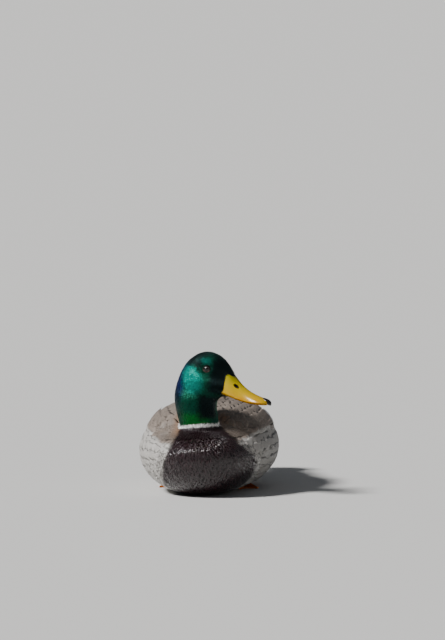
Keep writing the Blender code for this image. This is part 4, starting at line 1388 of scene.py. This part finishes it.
def makeCurls():
    black = plainMaterial("curlBlack", (0.006, 0.010, 0.010), Roughness=0.28, Metallic=0.2)
    for name, side in (("left", 1.0), ("right", -1.0)):
        low, high = (Vector(corner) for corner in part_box("curl_" + name))
        middle = (low + high) / 2
        for twin, (scale, back) in enumerate(curl["twins"]):
            radius = (high.z - low.z) / 2 * scale
            bottom = low.z + curl["lift"]
            across = middle.x + side * (curl["outwards"] - curl["twinGap"] * twin)
            centre = Vector((across, middle.y + curl["behind"] - back, bottom + radius))
            rings = curlRings(centre, bottom, radius, scale, side)
            piece = loftRings("curl%s%d" % (name.title(), twin + 1), rings)
            applyModifier(piece, "SUBSURF", levels=1)
            smoothShade(piece)
            paint(piece, black)
            fitPiece(piece, "black_plumage", *(["curl_" + name] if twin == 0 else []))
    print("tail curls: rolled")


makeCurls()


# legs and feet keep their solids and get scaly skin
foot = {"colour": (0.760, 0.190, 0.020), "scales": 620.0, "seamWidth": 0.16, "seamShade": 0.55}


def footMaterial():
    material, tree, shader = newMaterial("footSkin", Roughness=0.48)
    scales = addNode(tree, "ShaderNodeTexVoronoi", {"Vector": objectPlace(tree), "Scale": foot["scales"]},
                     feature="DISTANCE_TO_EDGE")
    seam = addRange(tree, scales.outputs["Distance"], 0.0, foot["seamWidth"], foot["seamShade"], 1.0)
    finish(tree, shader, addScale(tree, foot["colour"], seam), seam, 0.4, 0.0004)
    return material


footSkin = footMaterial()
for node in ("foot_left", "foot_right", "leg_left", "leg_right"):
    paint(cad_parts[node], footSkin)
print("legs and feet: scaled skin")


# floor, light and camera
stage = {
    "floorSize": 160.0, "floorColour": (0.60, 0.59, 0.57, 1.0),
    "wall": (0.915, 0.910, 0.890), "sky": (0.117, 0.125, 0.138), "wallTop": 0.05,
    "sunFrom": (-1.60, -1.00, 1.85), "sunAngle": 12.0, "sunPower": 6.2,
    "fillFrom": (1.6, -2.4, 0.9), "fillSize": 1.6, "fillPower": 1.0,
}


def makeStage():
    bpy.ops.object.select_all(action="DESELECT")
    bpy.ops.mesh.primitive_plane_add(size=stage["floorSize"], location=(0, 0, 0))
    floor = bpy.context.object
    floor.name = "floor"
    material, tree, shader = newMaterial("paleFloor", Roughness=0.85)
    shader.inputs["Base Color"].default_value = stage["floorColour"]
    floor.data.materials.append(material)
    floor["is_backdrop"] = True
    world = bpy.data.worlds.new("studio")
    bpy.context.scene.world = world
    world.use_nodes = True
    tree = world.node_tree          # the room is as pale as the floor up to its horizon, and dim above
    way = addNode(tree, "ShaderNodeTexCoord").outputs["Generated"]
    upwards = addNode(tree, "ShaderNodeSeparateXYZ", {0: way}).outputs[2]
    rise = addRange(tree, upwards, 0.0, stage["wallTop"], 0.0, 1.0)
    tones = addTones(tree, rise, ((0.0, stage["wall"]), (1.0, stage["sky"])))
    tree.links.new(tones, tree.nodes["Background"].inputs[0])


def makeLights():
    aim = Vector((0, 0, 0.09))
    sun = bpy.data.lights.new("key", "SUN")
    sun.energy = stage["sunPower"]
    sun.angle = math.radians(stage["sunAngle"])
    fill = bpy.data.lights.new("fill", "AREA")
    fill.size = stage["fillSize"]
    fill.energy = stage["fillPower"]
    for data, place in ((sun, stage["sunFrom"]), (fill, stage["fillFrom"])):
        lamp = bpy.data.objects.new(data.name, data)
        lamp.location = Vector(place)
        lamp.rotation_euler = (aim - lamp.location).to_track_quat("-Z", "Y").to_euler()
        bpy.context.scene.collection.objects.link(lamp)


cameraView = {"azimuth": 7.0, "elevation": 5.0, "distance": 24.0, "viewHeight": 0.8421,
              "aimRight": 0.0087, "aimUp": 0.2163}


def makeCamera():
    turn = math.radians(cameraView["azimuth"])
    rise = math.radians(cameraView["elevation"])
    right = Vector((math.cos(turn), math.sin(turn), 0.0))
    back = Vector((math.sin(turn) * math.cos(rise), -math.cos(turn) * math.cos(rise), math.sin(rise)))
    up = back.cross(right)
    data = bpy.data.cameras.new("camera")
    data.sensor_width = 36.0
    data.lens = 36.0 * cameraView["distance"] / cameraView["viewHeight"]
    camera = bpy.data.objects.new("camera", data)
    aim = right * cameraView["aimRight"] + up * cameraView["aimUp"]
    camera.location = aim + back * cameraView["distance"]
    camera.rotation_euler = (-back).to_track_quat("-Z", "Y").to_euler()
    bpy.context.scene.collection.objects.link(camera)
    bpy.context.scene.camera = camera


makeStage()
makeLights()
makeCamera()
print("stage: floor, sky, lights and camera")
low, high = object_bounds()
